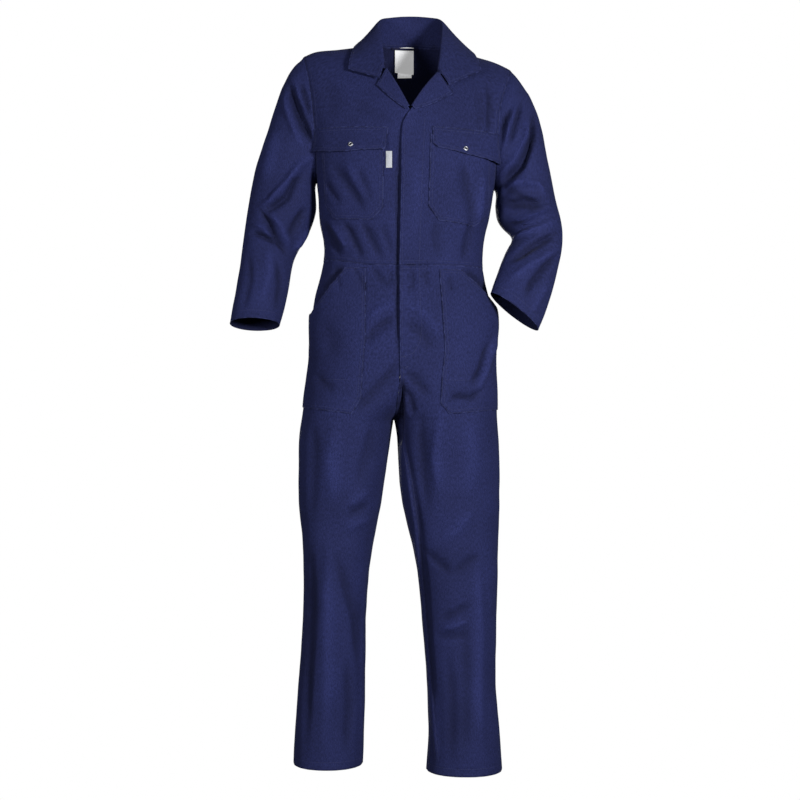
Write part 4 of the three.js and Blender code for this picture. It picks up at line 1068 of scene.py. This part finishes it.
def cloth_material(name, dark, light, wear_and_highlight, ribs, relief, sheen, roughness=0.82, painted_glow=0.0):
    """Woven cloth whose flecks run from a dark to a light colour."""
    material = bpy.data.materials.new(name)
    tree = nodes_of(material)
    grain = add_node(tree, "ShaderNodeUVMap", uv_map="grain").outputs[0]
    place_of = add_node(tree, "ShaderNodeTexCoord").outputs["Object"]
    weave = add_node(tree, "ShaderNodeGroup", node_tree=WEAVE)
    for key, value in (("Rib scale", ribs), ("Yarn scale", YARN_SCALE), ("Tone scale", TONE_SCALE)):
        weave.inputs[key].default_value = value
    tree.links.new(grain, weave.inputs["Grain"])
    sewing = add_node(tree, "ShaderNodeGroup", node_tree=SEWING)
    seam_distance = add_node(tree, "ShaderNodeAttribute", attribute_name="sewn").outputs["Fac"]
    edge_distance = add_node(tree, "ShaderNodeAttribute", attribute_name="edge").outputs["Fac"]
    tree.links.new(seam_distance, sewing.inputs["Sewn"])
    tree.links.new(edge_distance, sewing.inputs["Edge"])
    tree.links.new(place_of, sewing.inputs["Place"])
    flecks = fade_node(tree, weave.outputs["Flecks"], 0.3, 0.72, 0.0, 1.0)
    colour = mix_colour(tree, flecks, (*dark, 1), (*light, 1))
    tone = fade_node(tree, weave.outputs["Tone"], 0.3, 0.7, 0.92, 1.08)
    fold = add_node(tree, "ShaderNodeAttribute", attribute_name="fold").outputs["Fac"]
    # painted shade and highlight: troughs are painted darker and ridges lighter, and the line of a seam is
    # painted darker too
    hollow = fade_node(tree, fold, -9.0, 7.0, 0.55, 1.18)
    # painted shade along every stitched edge, darkest at the edge itself
    creased = fade_node(tree, seam_distance, 0.0, 0.0045, 0.6, 1.0)
    shade = math_node(tree, "MULTIPLY", math_node(tree, "MULTIPLY", tone, hollow), creased)
    toned = add_node(tree, "ShaderNodeVectorMath", {0: colour}, operation="SCALE")
    tree.links.new(shade, toned.inputs["Scale"])
    # edges are mixed towards a lighter colour: edge wear and a painted highlight
    colour = mix_colour(tree, sewing.outputs["Wear and highlight"], toned.outputs[0], (*wear_and_highlight, 1))
    height = math_node(
        tree, "ADD", math_node(tree, "MULTIPLY", weave.outputs["Height"], relief),
        math_node(tree, "MULTIPLY", sewing.outputs["Height"], 1.0),
    )
    bump = add_node(tree, "ShaderNodeBump", {"Height": height, "Strength": 0.9, "Distance": 0.55 * MM})
    # a white emission makes the cloth glow a little where asked, as painted light
    finish = add_node(
        tree, "ShaderNodeBsdfPrincipled",
        {"Base Color": colour, "Roughness": roughness, "Normal": bump.outputs[0], "Sheen Weight": sheen,
         "Emission Color": (1, 1, 1, 1), "Emission Strength": painted_glow,
         "Sheen Roughness": 0.45, "Sheen Tint": (0.62, 0.66, 1.0, 1), "Specular IOR Level": 0.16},
    )
    out = add_node(tree, "ShaderNodeOutputMaterial")
    tree.links.new(finish.outputs[0], out.inputs["Surface"])
    return material


def plain_material(name, colour, roughness, metallic=0.0, fleck=0.1, scale=900.0):
    """A finish with fine unevenness in its colour, roughness and surface."""
    material = bpy.data.materials.new(name)
    tree = nodes_of(material)
    place_of = add_node(tree, "ShaderNodeTexCoord").outputs["Object"]
    fine = add_node(
        tree, "ShaderNodeTexNoise", {"Vector": place_of, "Scale": scale, "Detail": 3.0, "Roughness": 0.6}
    ).outputs["Fac"]
    darker = tuple(channel * (1 - fleck) for channel in colour)
    tint = mix_colour(tree, fine, (*darker, 1), (*colour, 1))
    rough = fade_node(tree, fine, 0.3, 0.7, roughness * 0.85, min(1.0, roughness * 1.15))
    bump = add_node(tree, "ShaderNodeBump", {"Height": fine, "Strength": 0.4, "Distance": 0.08 * MM})
    finish = add_node(
        tree, "ShaderNodeBsdfPrincipled",
        {"Base Color": tint, "Roughness": rough, "Normal": bump.outputs[0], "Metallic": metallic},
    )
    out = add_node(tree, "ShaderNodeOutputMaterial")
    tree.links.new(finish.outputs[0], out.inputs["Surface"])
    return material


twill = cloth_material(
    "navy twill", (0.0065, 0.009, 0.042), (0.027, 0.034, 0.134), (0.036, 0.045, 0.15), 300, 0.6, 0.03
)
# the cloth's inner faces: the same twill painted about 0.6 as bright, as shade inside the garment
twill_inside_painted_shade = cloth_material(
    "navy twill inside painted shade", (0.0042, 0.0055, 0.026), (0.017, 0.021, 0.082), (0.021, 0.026, 0.09), 300, 0.6, 0.02
)
# the label glows a little as well, as painted light
label_cloth = cloth_material(
    "white label tape", (0.78, 0.79, 0.81), (0.9, 0.9, 0.92), (0.9, 0.9, 0.9), 420, 0.25, 0.1, painted_glow=0.3
)
tab_cloth = cloth_material(
    "grey tab tape", (0.42, 0.44, 0.48), (0.56, 0.58, 0.62), (0.6, 0.6, 0.62), 420, 0.25, 0.1
)
loop_tape = cloth_material(
    "dark loop tape", (0.008, 0.009, 0.03), (0.018, 0.02, 0.06), (0.02, 0.02, 0.06), 420, 0.4, 0.2
)
thread_cotton = plain_material("navy thread", (0.03, 0.036, 0.12), 0.7, fleck=0.3, scale=2500.0)
nickel = plain_material("nickel ring", (0.5, 0.51, 0.55), 0.42, metallic=1.0)
dull_socket = plain_material("dark socket", (0.012, 0.013, 0.02), 0.6)

# What each piece is cut from, in metres: width, length, and the share of that rectangle it fills
CUTS = {
    "front_right": (0.31, 0.52, 0.76), "front_left": (0.28, 0.52, 0.75), "back": (0.56, 0.51, 0.80),
    "sleeve_right": (0.43, 0.56, 0.80), "sleeve_left": (0.43, 0.54, 0.76),
    "trouser_front_right": (0.34, 1.08, 0.79), "trouser_front_left": (0.33, 1.10, 0.82),
    "trouser_back_right": (0.34, 1.08, 0.79), "trouser_back_left": (0.35, 1.10, 0.80),
    "collar": (0.52, 0.15, 0.80), "lapel_right": (0.08, 0.11, 0.36), "lapel_left": (0.10, 0.10, 0.44),
    "chest_pocket_right": (0.14, 0.18, 0.94), "chest_pocket_left": (0.14, 0.19, 0.94),
    "chest_flap_right": (0.18, 0.06, 0.90), "chest_flap_left": (0.17, 0.07, 0.85),
    "hip_pocket_right": (0.19, 0.31, 0.85), "hip_pocket_left": (0.19, 0.31, 0.85),
    "pocket_tab": (0.0125, 0.0345, 1.0), "neck_label_under": (0.031, 0.07, 1.0),
    "neck_label": (0.043, 0.062, 1.0), "hanging_loop": (0.062, 0.01, 0.5),
}
FINISHES = {
    "neck_label": (label_cloth, label_cloth, "label"),
    "neck_label_under": (label_cloth, label_cloth, "label"),
    "pocket_tab": (tab_cloth, tab_cloth, "label"),
    "hanging_loop": (loop_tape, loop_tape, "loop"),
}
HELD = {"sleeve_right": "hung", "sleeve_left": "hung", "neck_label": "hung", "neck_label_under": "hung",
        "collar": "folded", "lapel_right": "folded", "lapel_left": "folded"}
RESTS = {**{name: [f"{panel}_cloth"] for name, panel in PATCHES.items()},
         "lapel_right": ["front_right_cloth"], "lapel_left": ["front_left_cloth"], "collar": ["back_cloth"],
         "hanging_loop": ["back_cloth"]}

for name, piece in cloth.items():
    outside, inside, slot = FINISHES.get(name, (twill, twill_inside_painted_shade, "twill"))
    piece.data.materials[0] = outside
    piece.data.materials[1] = inside
    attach(piece, "root")
    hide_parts(name)
    width, length, filled = CUTS[name]
    HELD.get(name, "draped" if name not in PATCHES else "laid")
    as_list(RESTS.get(name, []))
for piece in stitches:
    piece.data.materials.clear()
    piece.data.materials.append(thread_cotton)
    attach(piece, "root")
for side, piece in studs.items():
    for finish in (nickel, dull_socket):
        piece.data.materials.append(finish)
    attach(piece, "root")
    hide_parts(f"flap_stud_{side}")

# Light and camera
AMBIENT = 0.05


def area_light(name, spot, aim, size, power):
    data = bpy.data.lights.new(name, "AREA")
    data.shape = "DISK"
    data.size = size
    data.energy = power
    light = bpy.data.objects.new(name, data)
    light.location = spot
    light.rotation_euler = (Vector(aim) - Vector(spot)).to_track_quat("-Z", "Y").to_euler()
    bpy.context.scene.collection.objects.link(light)


area_light("key", (1.5, -2.2, -0.3), (0, 0, -0.75), 0.45, 72)
area_light("fill", (-1.8, -2.4, -0.35), (0, 0, -0.75), 0.7, 36)
area_light("front", (0.1, -3.2, 0.5), (0, 0, -0.1), 0.3, 7)
area_light("back", (-0.3, 3.4, -0.3), (0, 0, -0.8), 1.6, 110)

world = bpy.data.worlds.new("studio")
bpy.context.scene.world = world
sky = nodes_of(world)
looked_at = add_node(sky, "ShaderNodeLightPath").outputs["Is Camera Ray"]
backdrop = add_node(sky, "ShaderNodeBackground", {"Color": (1, 1, 1, 1), "Strength": 1.0})
ambient = add_node(sky, "ShaderNodeBackground", {"Color": (0.93, 0.95, 1, 1), "Strength": AMBIENT})
both = add_node(sky, "ShaderNodeMixShader", {0: looked_at, 1: ambient.outputs[0], 2: backdrop.outputs[0]})
sky_out = add_node(sky, "ShaderNodeOutputWorld")
sky.links.new(both.outputs[0], sky_out.inputs["Surface"])
bpy.context.scene.view_settings.view_transform = "Standard"

camera_data = bpy.data.cameras.new("camera")
camera_data.lens = LENS
camera_data.sensor_width = SENSOR
camera = bpy.data.objects.new("camera", camera_data)
camera.location = EYE
camera.rotation_euler = (math.pi / 2, 0, 0)
bpy.context.scene.collection.objects.link(camera)
bpy.context.scene.camera = camera
